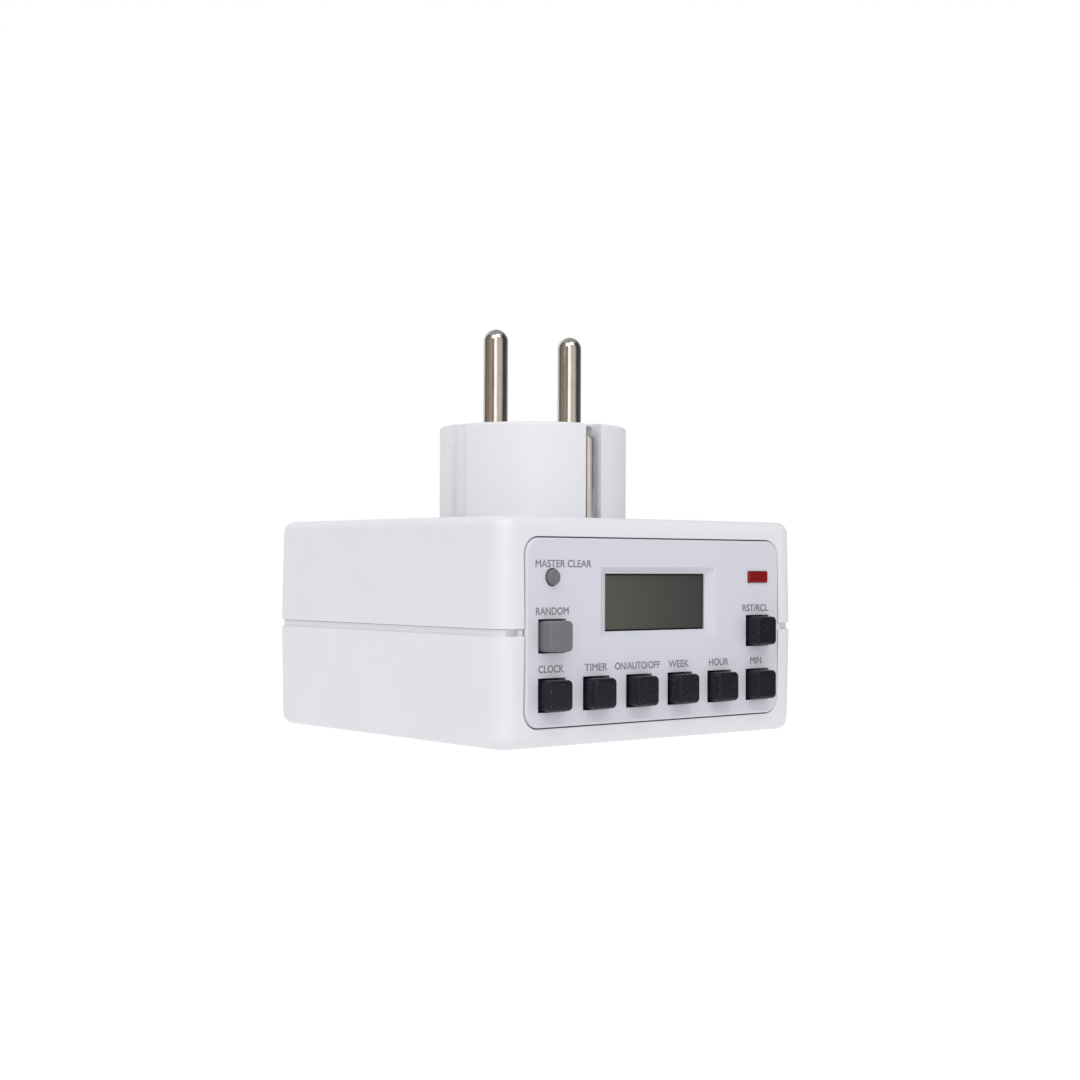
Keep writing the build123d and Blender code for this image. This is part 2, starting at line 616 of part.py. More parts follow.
def front_housing():
    """Socket-side shell: recess with its floor, guide ribs, pin holes, posts and screw bosses."""
    shell = shell_blank(LOWER_EDGE_Z, 0) - cavity((WALL, SEAM_Z + CUT))
    shell += seam_tongue()
    shell += disc(RECESS_OUTER_RADIUS, (SINK, FLOOR_TOP_Z))
    root = WALL - SINK
    for place in BOSS_PLACES:
        shell += boss_with_rib(place, (root, BOSS_SPLIT_Z), (root, LOWER_EDGE_Z - TONGUE_ROOT))
    for place in POWER_POST_PLACES:
        shell += disc(POWER_POST_RADIUS, (root, POWER_BOARD_Z), place)
    shell -= disc(RECESS_RADIUS, (-CUT, RECESS_DEPTH))
    shell = mouth_chamfered(shell)
    for side in (-1, 1):
        rib_x = (side * (RECESS_RADIUS - GUIDE_RIB_REACH), side * (RECESS_RADIUS + RECESS_WALL / 2))
        rib_half = GUIDE_RIB_WIDTH / 2
        shell += block(rib_x, (-rib_half, rib_half), (GUIDE_RIB_START, RECESS_DEPTH + SINK))
        shell -= disc(PIN_HOLE_RADIUS, (RECESS_DEPTH - CUT, FLOOR_TOP_Z + CUT), (side * PIN_X, 0))
        slot_y = (side * (RECESS_RADIUS - CUT), side * (RECESS_OUTER_RADIUS + CUT))
        slot_half = EARTH_TONGUE_WIDTH / 2 + EARTH_SLOT_CLEARANCE
        shell -= block((-slot_half, slot_half), slot_y, (WALL + EARTH_SLOT_SILL, RECESS_DEPTH - CUT))
        peg = (0, side * PEG_Y)
        shell += disc(PEG_SEAT_RADIUS, (FLOOR_TOP_Z - SINK, CARRIER_BOTTOM_Z - SEAT_GAP), peg)
        shell += disc(SHUTTER_POST_RADIUS, (FLOOR_TOP_Z - SINK, CARRIER_TOP_Z + STAKE_HEIGHT), peg)
    shell += disc(SHUTTER_POST_RADIUS, (FLOOR_TOP_Z - SINK, CARRIER_TOP_Z + STAKE_HEIGHT))
    pilot_bottom = SCREW_SEAT_Z - HOUSING_SCREW_LENGTH - CUT
    for place in BOSS_PLACES:
        shell -= disc(HOUSING_SCREW_RADIUS + RUNNING_FIT, (pilot_bottom, BOSS_SPLIT_Z + CUT), place)
    for place in POWER_POST_PLACES:
        shell -= disc(BOARD_SCREW_RADIUS + RUNNING_FIT, (WALL + PILOT_FLOOR, POWER_BOARD_Z + CUT), place)
    return shell - panel_opening()


def plug_hollow():
    """The hollow of the plug body, kept clear of the walls of its grooves and notches."""
    hollow = disc(PLUG_BODY_RADIUS - WALL, (INNER_TOP_Z - CUT, PLUG_INNER_Z))
    for side in (-1, 1):
        half = EARTH_GROOVE_WIDTH / 2 + GROOVE_WALL
        groove_y = (side * (GROOVE_BACK - GROOVE_WALL), side * BEYOND_PLUG)
        hollow -= block((-half, half), groove_y, (INNER_TOP_Z, PLUG_FACE_Z))
        half = GUIDE_NOTCH_WIDTH / 2 + GROOVE_WALL
        notch_x = (side * (NOTCH_BACK - GROOVE_WALL), side * BEYOND_PLUG)
        hollow -= block(notch_x, (-half, half), (INNER_TOP_Z, PLUG_FACE_Z))
    return hollow


def rear_housing():
    """Plug-side shell: round plug body with guide notches, earth grooves, pin holes and bosses."""
    body = disc(PLUG_BODY_RADIUS, (INNER_TOP_Z - SINK, PLUG_FACE_Z))
    shell = shell_blank(UPPER_EDGE_Z, HOUSING_HEIGHT) + rim_rounded(body, PLUG_RIM_ROUND)
    shell -= cavity((SEAM_Z - CUT, INNER_TOP_Z))
    rebate_top = TONGUE_TOP_Z + LOOSE_FIT
    shell -= inset_prism(SEAM_SKIN - TONGUE_CLEARANCE, (SEAM_Z - CUT, rebate_top))
    shell -= plug_hollow()
    root = INNER_TOP_Z + SINK
    for place in BOSS_PLACES:
        shell += boss_with_rib(place, (BOSS_SPLIT_Z + LOOSE_FIT, root), (rebate_top + LOOSE_FIT, root))
        shell -= disc(HOUSING_SCREW_RADIUS + SCREW_HOLE_CLEARANCE, (SEAM_Z - CUT, SCREW_SEAT_Z + CUT), place)
        shell -= disc(HOUSING_SCREW_HEAD_RADIUS + SCREW_HEAD_CLEARANCE, (SCREW_SEAT_Z, PLUG_FACE_Z), place)
    above = (HOUSING_HEIGHT, PLUG_FACE_Z + CUT)
    for side in (-1, 1):
        half = EARTH_GROOVE_WIDTH / 2
        shell -= block((-half, half), (side * GROOVE_BACK, side * BEYOND_PLUG), above)
        well_y = (side * GROOVE_BACK, side * PLUG_BODY_RADIUS)
        shell -= block((-half, half), well_y, (INNER_TOP_Z - CUT, HOUSING_HEIGHT + CUT))
        half = GUIDE_NOTCH_WIDTH / 2
        shell -= block((side * NOTCH_BACK, side * BEYOND_PLUG), (-half, half), above)
        pin_hole = (PLUG_INNER_Z - CUT, PLUG_FACE_Z + CUT)
        shell -= disc(PIN_RADIUS + PIN_HOLE_CLEARANCE, pin_hole, (side * PIN_X, 0))
        stake_bottom = COLLAR_BOTTOM_Z - PIN_CARRIER_THICKNESS - STAKE_HEIGHT
        shell += disc(STAKE_RADIUS, (stake_bottom, PLUG_INNER_Z + SINK), (0, side * STAKE_Y))
    return shell - panel_opening()


# ---------------------------------------------------------------- panel, display and keys
def window_rectangle(width, height):
    """A rectangle about the display window's centre."""
    return Pos(0, WINDOW_CENTRE_Z) * Rectangle(width, height)


def bevel_cut():
    """The sloping frame sunk into the panel round the display window."""
    front = Plane.XZ.offset(-PANEL_FACE_Y) * window_rectangle(BEVEL_WIDTH, BEVEL_HEIGHT)
    back_y = PANEL_FACE_Y + BEVEL_DEPTH
    back = Plane.XZ.offset(-back_y) * window_rectangle(WINDOW_WIDTH, WINDOW_HEIGHT)
    return loft([front.face(), back.face()])


def panel_tray():
    """The panel's plate and skirt, with the flange that bears on the housing's wall from inside."""
    tray = plate_y(PANEL_WIDTH, PANEL_HEIGHT, PANEL_CORNER_RADIUS, PANEL_FACE_Y, SKIRT_BACK_Y, PANEL_PLACE)
    tray = face_rounded(tray, PANEL_EDGE_ROUND)
    tray += plate_y(
        PANEL_WIDTH + 2 * PANEL_FLANGE_WIDTH,
        PANEL_HEIGHT + 2 * PANEL_FLANGE_WIDTH,
        PANEL_CORNER_RADIUS + PANEL_FLANGE_WIDTH,
        -INNER_Y + SEAT_GAP,
        SKIRT_BACK_Y,
        PANEL_PLACE,
    )
    return tray - plate_y(
        PANEL_WIDTH - 2 * PANEL_SKIRT_WIDTH,
        PANEL_HEIGHT - 2 * PANEL_SKIRT_WIDTH,
        PANEL_CORNER_RADIUS - PANEL_SKIRT_WIDTH,
        PLATE_BACK_Y,
        SKIRT_BACK_Y + CUT,
        PANEL_PLACE,
    )


def control_panel():
    """Panel tray with the window, the key holes and four posts."""
    panel = panel_tray()
    for post in POST_PLACES:
        panel += disc_y(POST_RADIUS, PLATE_BACK_Y - SINK, BOARD_FRONT_Y - SEAT_GAP, post)
        pilot_front = PLATE_BACK_Y + PILOT_FLOOR
        panel -= disc_y(BOARD_SCREW_RADIUS + RUNNING_FIT, pilot_front, BOARD_FRONT_Y + CUT, post)
    through = (PANEL_FACE_Y - CUT, PLATE_BACK_Y + CUT)
    for place in KEY_PLACES.values():
        panel -= prism_y(Pos(*place) * Rectangle(KEY_HOLE_WIDTH, KEY_HOLE_HEIGHT), *through)
    panel -= disc_y(RESET_HOLE_RADIUS, *through, RESET_PLACE)
    led_hole = Pos(*LED_PLACE) * Rectangle(LED_WIDTH + 2 * LOOSE_FIT, LED_HEIGHT + 2 * LOOSE_FIT)
    panel -= prism_y(led_hole, *through)
    panel -= bevel_cut()
    panel -= prism_y(window_rectangle(WINDOW_WIDTH, WINDOW_HEIGHT), *through)
    return panel - prism_y(window_rectangle(*LCD_POCKET), LCD_FRONT_Y - SEAT_GAP, PLATE_BACK_Y + CUT)


def lcd_cell():
    """The liquid crystal cell: two glasses, the rear one with a longer contact ledge."""
    middle = (LCD_FRONT_Y + LCD_BACK_Y) / 2
    front = prism_y(window_rectangle(LCD_WIDTH, LCD_HEIGHT - 2 * LCD_LEDGE), LCD_FRONT_Y, middle)
    return front + prism_y(window_rectangle(LCD_WIDTH, LCD_HEIGHT), middle, LCD_BACK_Y)


def zebra_outline(side, clearance):
    """One connector strip's outline, with a clearance round it."""
    bar = Rectangle(LCD_WIDTH - 2 * ZEBRA_END_GAP + 2 * clearance, ZEBRA_WIDTH + 2 * clearance)
    return Pos(0, WINDOW_CENTRE_Z + side * (LCD_HEIGHT / 2 - ZEBRA_INSET)) * bar


def lcd_frame():
    """The open frame that holds the cell, with a ledge behind it and slots for the connectors."""
    ring = window_rectangle(*LCD_FRAME_OUTER) - window_rectangle(*LCD_POCKET)
    frame = prism_y(ring, PLATE_BACK_Y + SEAT_GAP, BOARD_FRONT_Y - SEAT_GAP)
    ledge = window_rectangle(LCD_POCKET[0] + SINK, LCD_POCKET[1] + SINK)
    inset = ZEBRA_INSET + ZEBRA_WIDTH / 2 + LOOSE_FIT + SINK
    ledge -= window_rectangle(LCD_WIDTH - 2 * LCD_FRAME_LIP, LCD_HEIGHT - 2 * inset)
    for side in (-1, 1):
        ledge -= zebra_outline(side, LOOSE_FIT)
    return frame + prism_y(ledge, LCD_BACK_Y + SEAT_GAP, LCD_BACK_Y + SEAT_GAP + LCD_FRAME_LEDGE)


def zebra_strips():
    """Two elastomer strips between the cell's ledges and the board."""
    return Compound([prism_y(zebra_outline(side, 0), LCD_BACK_Y, BOARD_FRONT_Y) for side in (-1, 1)])


def square_key(place):
    """A rubber key: square stem through the panel, retaining flange and contact pill."""
    stem = plate_y(KEY_SIZE, KEY_SIZE, KEY_ROUND, KEY_FACE_Y, KEY_FLANGE_BACK_Y, place)
    stem = face_rounded(stem, KEY_FACE_ROUND)
    flange = plate_y(KEY_FLANGE_WIDTH, KEY_FLANGE_WIDTH, KEY_ROUND, KEY_FLANGE_Y, KEY_FLANGE_BACK_Y, place)
    return stem + flange + disc_y(KEY_PILL_RADIUS, KEY_FLANGE_Y, PILL_TIP_Y, place)


def reset_button():
    """The small round key in its own hole."""
    stem = disc_y(RESET_RADIUS, PANEL_FACE_Y - RESET_PROUD, PILL_TIP_Y, RESET_PLACE)
    stem = face_rounded(stem, RESET_FACE_ROUND)
    flange_radius = RESET_HOLE_RADIUS + KEY_FLANGE_MARGIN
    return stem + disc_y(flange_radius, KEY_FLANGE_Y, KEY_FLANGE_BACK_Y, RESET_PLACE)


def sheet_outline(opening):
    """The flat outline of the rubber sheet: both rows and a tower for the round key, less the display."""
    collar = opening + 2 * COLLAR_WALL
    low = LOWER_ROW_Z - collar / 2
    high = UPPER_ROW_Z + collar / 2
    rows = RectangleRounded(2 * COLUMNS[5] + collar, high - low, SHEET_CORNER_RADIUS)
    tower_top = RESET_Z + RESET_TOWER_RISE
    tower = Rectangle(RESET_TOWER_WIDTH, tower_top - high + SINK)
    tower_place = Pos(COLUMNS[0], (high + tower_top - SINK) / 2)
    gap = 2 * COLLAR_WALL
    display = window_rectangle(LCD_FRAME_OUTER[0] + gap, LCD_FRAME_OUTER[1] + gap)
    return Pos(0, (low + high) / 2) * rows + tower_place * tower - display


def keypad_sheet():
    """Rubber sheet on the board with a collar round each key's flange."""
    opening = KEY_FLANGE_WIDTH + 2 * COLLAR_CLEARANCE
    collar = opening + 2 * COLLAR_WALL
    reset_opening = RESET_HOLE_RADIUS + KEY_FLANGE_MARGIN + COLLAR_CLEARANCE
    back = BOARD_FRONT_Y - SEAT_GAP
    front = KEY_FLANGE_Y + COLLAR_CLEARANCE
    sheet = prism_y(sheet_outline(opening), back - SHEET_THICKNESS, back)
    for place in KEY_PLACES.values():
        sheet += plate_y(collar, collar, SHEET_CORNER_RADIUS, front, back, place)
    sheet += disc_y(reset_opening + RESET_COLLAR_WALL, front, back, RESET_PLACE)
    for place in KEY_PLACES.values():
        sheet -= plate_y(opening, opening, KEY_ROUND + COLLAR_CLEARANCE, front - CUT, back + CUT, place)
    sheet -= disc_y(reset_opening, front - CUT, back + CUT, RESET_PLACE)
    for post in POST_PLACES:
        sheet -= disc_y(POST_RADIUS + COLLAR_CLEARANCE, front - CUT, back + CUT, post)
    return sheet


def contact_pads():
    """Carbon pads on the board under the nine keys."""
    places = list(KEY_PLACES.values()) + [RESET_PLACE]
    front = BOARD_FRONT_Y - PAD_THICKNESS
    return Compound([disc_y(PAD_RADIUS, front, BOARD_FRONT_Y, place) for place in places])


def indicator_led():
    """Rectangular red lamp with a shoulder behind the panel and two legs to the board."""
    centre = Pos(*LED_PLACE)
    lamp = prism_y(centre * Rectangle(LED_WIDTH, LED_HEIGHT), PANEL_FACE_Y - LED_PROUD, PLATE_BACK_Y + SINK)
    lamp = face_rounded(lamp, LED_FACE_ROUND)
    shoulder = centre * Rectangle(LED_WIDTH + 2 * LED_SHOULDER, LED_HEIGHT + 2 * LED_SHOULDER)
    shoulder_back = PLATE_BACK_Y + LED_SHOULDER_THICKNESS
    lamp += prism_y(shoulder, PLATE_BACK_Y + SEAT_GAP, shoulder_back)
    for side in (-1, 1):
        leg = centre * Pos(side * LED_LEG_SPACING / 2, 0) * Rectangle(LED_LEG_WIDTH, LED_LEG_WIDTH)
        lamp += prism_y(leg, shoulder_back - SINK, BOARD_FRONT_Y)
    return lamp


# ---------------------------------------------------------------- control board
def control_board():
    """The board behind the panel, held by four screws."""
    outline = Rectangle(PANEL_WIDTH - 2 * BOARD_SIDE_GAP, PANEL_HEIGHT - 2 * BOARD_END_GAP)
    board = prism_y(Pos(*PANEL_PLACE) * outline, BOARD_FRONT_Y, BOARD_BACK_Y)
    for post in POST_PLACES:
        hole = (BOARD_FRONT_Y - CUT, BOARD_BACK_Y + CUT)
        board -= disc_y(BOARD_SCREW_RADIUS + SCREW_HOLE_CLEARANCE, *hole, post)
    return board


def controller_chip():
    """The flat-pack controller on the back of the control board."""
    centre = Pos(*PANEL_PLACE)
    front = BOARD_BACK_Y + CHIP_STANDOFF
    body = prism_y(centre * Rectangle(CHIP_SIZE, CHIP_SIZE), front, front + CHIP_THICKNESS)
    lead_back = BOARD_BACK_Y + CHIP_LEAD_HEIGHT
    row = CHIP_SIZE / 2 + CHIP_LEAD_HEIGHT
    for number in range(CHIP_LEAD_COUNT):
        along = (number - (CHIP_LEAD_COUNT - 1) / 2) * CHIP_LEAD_PITCH
        for across in (-row, row):
            upright = centre * Pos(along, across) * Rectangle(CHIP_LEAD_WIDTH, CHIP_LEAD_LENGTH)
            level = centre * Pos(across, along) * Rectangle(CHIP_LEAD_LENGTH, CHIP_LEAD_WIDTH)
            body += prism_y(upright, BOARD_BACK_Y, lead_back)
            body += prism_y(level, BOARD_BACK_Y, lead_back)
    return body


def crystal_can():
    """The watch crystal, lying on the control board."""
    axis_y = BOARD_BACK_Y + CRYSTAL_RADIUS
    axis_z = PANEL_TOP_Z - CRYSTAL_DROP
    section = Plane.YZ * Pos(axis_y, axis_z) * Circle(CRYSTAL_RADIUS)
    body = extrude(section, amount=CRYSTAL_LENGTH / 2, both=True)
    leg_x = CRYSTAL_LENGTH / 2 - CRYSTAL_LEG_RADIUS
    for side in (-1, 1):
        leg_place = (leg_x, axis_z + side * CRYSTAL_LEG_SPACING / 2)
        body += disc_y(CRYSTAL_LEG_RADIUS, BOARD_BACK_Y, axis_y, leg_place)
    return body


def backup_cell():
    """The button cell that keeps the time when unplugged."""
    return disc_y(CELL_RADIUS, CELL_FRONT_Y, CELL_FRONT_Y + CELL_THICKNESS, CELL_PLACE)


def cell_clip():
    """The spring strap that holds the cell to the board."""
    reach = CELL_RADIUS + CLIP_STRAP_GAP + CLIP_STRAP_THICKNESS / 2
    back = CELL_FRONT_Y + CELL_THICKNESS + CLIP_STRAP_GAP
    left = CELL_PLACE[0] - reach
    right = CELL_PLACE[0] + reach
    points = [(left, BOARD_BACK_Y), (left, back), (right, back), (right, BOARD_BACK_Y)]
    strap = strip(Plane.XY, points, CLIP_STRAP_BEND, CLIP_STRAP_THICKNESS, CLIP_STRAP_WIDTH)
    return Pos(0, 0, CELL_PLACE[1]) * strap


def screw(head_radius, head, radius, length):
    """A pan-head screw that points down, with the underside of its head at the origin."""
    top = rim_rounded(disc(head_radius, (0, head)), head * SCREW_EDGE_SHARE)
    half = SCREW_SLOT_WIDTH / 2
    reach = head_radius * SCREW_SLOT_SHARE
    cross = block((-half, half), (-reach, reach), (head * SCREW_SLOT_DEPTH_SHARE, head + CUT))
    top -= cross + Rot(0, 0, 90) * cross
    return top + disc(radius, (-length, LOOSE_FIT))


def board_screws():
    """Eight equal screws: four into the panel posts, four into the socket-side shell."""
    one = screw(BOARD_SCREW_HEAD_RADIUS, BOARD_SCREW_HEAD, BOARD_SCREW_RADIUS, BOARD_SCREW_LENGTH)
    placed = [Pos(x, BOARD_BACK_Y + CONTACT_SEAT, z) * Rot(-90, 0, 0) * one for x, z in POST_PLACES]
    placed += [Pos(x, y, POWER_BOARD_TOP + CONTACT_SEAT) * one for x, y in POWER_POST_PLACES]
    return Compound(placed)


def housing_screws():
    """Four screws that close the housing from the plug side."""
    one = screw(HOUSING_SCREW_HEAD_RADIUS, HOUSING_SCREW_HEAD, HOUSING_SCREW_RADIUS, HOUSING_SCREW_LENGTH)
    return Compound([Pos(x, y, SCREW_SEAT_Z + CONTACT_SEAT) * one for x, y in BOSS_PLACES])


# ---------------------------------------------------------------- plug pins and current path
def plug_pin(side):
    """A round-ended pin with a narrower waist in the plug face, a collar inside it and a riveted tail."""
    place = (side * PIN_X, 0)
    waist_top = PLUG_FACE_Z + PIN_WAIST_RISE
    dome_z = PIN_TIP_Z - PIN_RADIUS
    pin = disc(PIN_RADIUS, (waist_top, dome_z), place)
    dome = Pos(place[0], place[1], dome_z) * Sphere(PIN_RADIUS)
    pin += dome - disc(2 * PIN_RADIUS, (dome_z - 2 * PIN_RADIUS, dome_z), place)
    pin += disc(PIN_WAIST_RADIUS, (PLUG_INNER_Z, waist_top), place)
    pin += disc(PIN_COLLAR_RADIUS, (COLLAR_BOTTOM_Z, PLUG_INNER_Z), place)
    pin += disc(PIN_SHANK_RADIUS, (BUSBAR_TOP_Z + CONTACT_SEAT, COLLAR_BOTTOM_Z), place)
    head_top = BUSBAR_Z - CONTACT_SEAT
    pin += disc(RIVET_RADIUS, (head_top - RIVET_HEAD, BUSBAR_TOP_Z + SINK), place)
    return pin + disc(RIVET_HEAD_RADIUS, (head_top - RIVET_HEAD, head_top), place)


def pin_carrier():
    """Moulded bridge under the pin collars, staked on two posts of the plug face."""
    top = COLLAR_BOTTOM_Z - SEAT_GAP
    bottom = top - PIN_CARRIER_THICKNESS
    flat = GROOVE_BACK - GROOVE_WALL - PIN_CARRIER_GAP
    carrier = disc(PIN_CARRIER_RADIUS, (bottom, top))
    carrier &= block((-BEYOND_PLUG, BEYOND_PLUG), (-flat, flat), (bottom, top))
    through = (bottom - CUT, top + CUT)
    for side in (-1, 1):
        carrier -= disc(PIN_SHANK_RADIUS + RUNNING_FIT, through, (side * PIN_X, 0))
        carrier -= disc(STAKE_RADIUS + RUNNING_FIT, through, (0, side * STAKE_Y))
    return carrier


def busbar(side, leg_bottom):
    """An L of brass strip from a pin's riveted tail down beside the socket clip."""
    width = (-STRIP_WIDTH / 2, STRIP_WIDTH / 2)
    bar = block((PIN_X - STRIP_HEEL, LEG_OUTER_X), width, (BUSBAR_Z, BUSBAR_TOP_Z))
    bar += block((LEG_X, LEG_OUTER_X), width, (leg_bottom, BUSBAR_TOP_Z))
    bar -= disc(RIVET_RADIUS + RUNNING_FIT, (BUSBAR_Z - CUT, BUSBAR_TOP_Z + CUT), (PIN_X, 0))
    return bar if side > 0 else turned(bar)


def load_busbar():
    """The upright strip behind the switched clip."""
    width = (-STRIP_WIDTH / 2, STRIP_WIDTH / 2)
    return turned(block((LEG_X, LEG_OUTER_X), width, (CLIP_BOTTOM_Z, CLIP_TOP_Z - LOAD_STRIP_DROP)))


def socket_clip(side):
    """A sprung U of sheet brass whose leaves grip a mating pin."""
    grip = PIN_RADIUS + CLIP_THICKNESS / 2
    tip_x = PIN_X - CLIP_LEAF
    upper = [(tip_x, grip + CLIP_FLARE), (PIN_X, grip), (CLIP_WEB_X, grip + CLIP_FLARE)]
    lower = [(x, -y) for x, y in reversed(upper)]
    clip = strip(Plane.XY, upper + lower, CLIP_FLARE, CLIP_THICKNESS, CLIP_LENGTH)
    clip = Pos(0, 0, (CLIP_BOTTOM_Z + CLIP_TOP_Z) / 2) * clip
    return clip if side > 0 else turned(clip)


def carrier_walls(side):
    """The two walls beside a clip, and the stop behind its busbar."""
    inner_y = PIN_RADIUS + CLIP_THICKNESS + CLIP_FLARE + LOOSE_FIT
    root = CARRIER_TOP_Z - SINK
    wall_x = (side * (PIN_X - CLIP_REACH), side * (CLIP_WEB_X - CLIP_THICKNESS))
    stop_x = (side * (LEG_OUTER_X + SEAT_GAP), side * (CARRIER_RADIUS - BOSS_WALL_GAP))
    stop_y = (-CARRIER_STOP_HALF, CARRIER_STOP_HALF)
    walls = block(stop_x, stop_y, (root, CARRIER_TOP_Z + CARRIER_STOP_HEIGHT))
    for across in (-1, 1):
        wall_y = (across * inner_y, across * (inner_y + CARRIER_WALL))
        walls += block(wall_x, wall_y, (root, CARRIER_TOP_Z + CARRIER_WALL_HEIGHT))
    return walls


def contact_carrier():
    """Moulded plate over the shutter with walls that hold the two socket clips."""
    carrier = disc(CARRIER_RADIUS, (CARRIER_BOTTOM_Z, CARRIER_TOP_Z))
    through = (CARRIER_BOTTOM_Z - CUT, CARRIER_TOP_Z + CUT)
    for side in (-1, 1):
        carrier += carrier_walls(side)
        carrier -= disc(PIN_HOLE_RADIUS + SCREW_HEAD_CLEARANCE, through, (side * PIN_X, 0))
    for post_y in (-PEG_Y, 0, PEG_Y):
        carrier -= disc(SHUTTER_POST_RADIUS + RUNNING_FIT, through, (0, post_y))
    return carrier


def earth_strip():
    """The front earth contact: crowned neck in the plug's groove, strap round the recess, sprung tongue."""
    neck = [
        (-STRAP_Y + EARTH_TIP_REACH, PLUG_FACE_Z - EARTH_TIP_DROP),
        (-STRAP_Y, PLUG_FACE_Z - EARTH_NECK_DROP),
        (-STRAP_Y, INNER_TOP_Z - CUT),
    ]
    strap = [
        (-STRAP_Y, INNER_TOP_Z - SEAT_GAP),
        (-STRAP_Y, INNER_TOP_Z - JOGGLE_DROP),
        (-OUTER_STRAP_Y, FLOOR_TOP_Z + JOGGLE_RISE),
        (-OUTER_STRAP_Y, WALL + STRAP_FOOT_RISE),
    ]
    tongue_low = WALL + TONGUE_FOOT_RISE
    tongue = [
        (-OUTER_STRAP_Y, WALL + TONGUE_HEEL_RISE),
        (-OUTER_STRAP_Y, tongue_low),
        (-RECESS_RADIUS - TONGUE_FOOT_REACH, tongue_low),
        (-RECESS_RADIUS + TONGUE_CREST_REACH, RECESS_DEPTH / 2 + TONGUE_CREST_RISE),
        (-RECESS_RADIUS + TONGUE_TIP_REACH, RECESS_DEPTH - TONGUE_TIP_DROP),
    ]
    crown_y = EARTH_CROWN_RADIUS - STRAP_Y - EARTH_THICKNESS / 2
    crown = disc(EARTH_CROWN_RADIUS, (INNER_TOP_Z - 2 * CUT, PLUG_FACE_Z), (0, crown_y))
    shape = strip(Plane.YZ, neck, EARTH_BEND, EARTH_THICKNESS, EARTH_NECK_WIDTH) & crown
    shape += strip(Plane.YZ, strap, EARTH_BEND, EARTH_THICKNESS, EARTH_STRAP_WIDTH)
    return shape + strip(Plane.YZ, tongue, EARTH_TONGUE_BEND, EARTH_THICKNESS, EARTH_TONGUE_WIDTH)


def earth_bridge():
    """The strip that joins the two earth contacts between the busbars."""
    reach = STRAP_Y - EARTH_THICKNESS
    z = INNER_TOP_Z - BRIDGE_DROP
    points = [(-reach, z - BRIDGE_LIP), (-reach, z), (reach, z), (reach, z - BRIDGE_LIP)]
    return strip(Plane.YZ, points, BRIDGE_BEND, EARTH_THICKNESS, EARTH_STRAP_WIDTH)


# ---------------------------------------------------------------- child shutter
def socket_shutter():
    """Two-armed shutter that covers both pin holes and turns aside when both are pushed."""
    bar = SlotOverall(2 * (PIN_X + SHUTTER_REACH), 2 * SHUTTER_ARM_HALF)
    shutter = extrude(Plane.XY.offset(SHUTTER_BOTTOM_Z) * bar, amount=SHUTTER_THICKNESS)
    ramp_foot = SHUTTER_BOTTOM_Z - LOOSE_FIT
    ramp_side = SHUTTER_ARM_HALF + LOOSE_FIT
    corners = [(-RAMP_TOE, ramp_foot), (ramp_side, ramp_foot), (ramp_side, SHUTTER_TOP_Z - RAMP_LIP)]
    outline = make_face(Polyline(*corners, close=True))
    ramp = extrude(Plane.YZ.offset(PIN_X) * outline, amount=RAMP_WIDTH / 2, both=True)
    shutter -= ramp + turned(ramp)
    lug_z = (SHUTTER_TOP_Z - LOOSE_FIT, SHUTTER_TOP_Z + LUG_HEIGHT)
    shutter += block((LUG_FROM, LUG_TO), (-LUG_HALF, LUG_HALF), lug_z)
    post_hole = (SHUTTER_BOTTOM_Z - CUT, SHUTTER_TOP_Z + CUT)
    return shutter - disc(SHUTTER_POST_RADIUS + RUNNING_FIT, post_hole)


def shutter_spring():
    """The torsion spring round the shutter's post, with one leg on the shutter and one on a peg."""
    coil_radius = SHUTTER_POST_RADIUS + SPRING_POST_GAP
    height = SPRING_TURNS * SPRING_TURN
    helix = Helix(SPRING_TURN, height, coil_radius, center=(0, 0, SHUTTER_TOP_Z + SPRING_LIFT))
    spring = rod(helix, SPRING_WIRE_RADIUS)
    peg_leg = (SPRING_PEG_LEG[0], PEG_Y + SPRING_PEG_LEG[1])
    for end, place in ((helix @ 0, SPRING_LUG_LEG), (helix @ 1, peg_leg)):
        spring += rod(Line(end, (place[0], place[1], end.Z)), SPRING_WIRE_RADIUS)
    return spring


# ---------------------------------------------------------------- power board
def boss_relief(place, z_range):
    """The clear space round a boss and the housing corner behind it."""
    corner_x = (place[0], math.copysign(INNER_X + CUT, place[0]))
    lap = math.copysign(BOSS_CORNER_LAP, place[1])
    corner_y = (place[1] - lap, math.copysign(INNER_Y + CUT, place[1]))
    return disc(BOSS_RADIUS + POWER_BOARD_MARGIN, z_range, place) + block(corner_x, corner_y, z_range)


def power_board():
    """The horseshoe board that lies round the socket recess."""
    low_y = POWER_BOARD_FRONT_Y
    high_y = INNER_Y - POWER_BOARD_MARGIN
    outline = Pos(0, (low_y + high_y) / 2) * Rectangle(2 * (INNER_X - POWER_BOARD_MARGIN), high_y - low_y)
    outline -= Circle(RECESS_OUTER_RADIUS + POWER_BOARD_HOLE_GAP)
    outline -= Pos(0, low_y) * Rectangle(2 * POWER_BOARD_THROAT, 2 * POWER_BOARD_THROAT_DEPTH)
    outline -= Rectangle(EARTH_STRAP_WIDTH + 2 * CUT, 2 * (OUTER_STRAP_Y + CUT))
    bottom = POWER_BOARD_Z + CONTACT_SEAT
    board = extrude(Plane.XY.offset(bottom) * outline, amount=POWER_BOARD_TOP - bottom)
    through = (POWER_BOARD_Z - CUT, POWER_BOARD_TOP + CUT)
    for place in BOSS_PLACES:
        board -= boss_relief(place, through)
    for place in POWER_POST_PLACES:
        board -= disc(BOARD_SCREW_RADIUS + SCREW_HOLE_CLEARANCE, through, place)
    return board


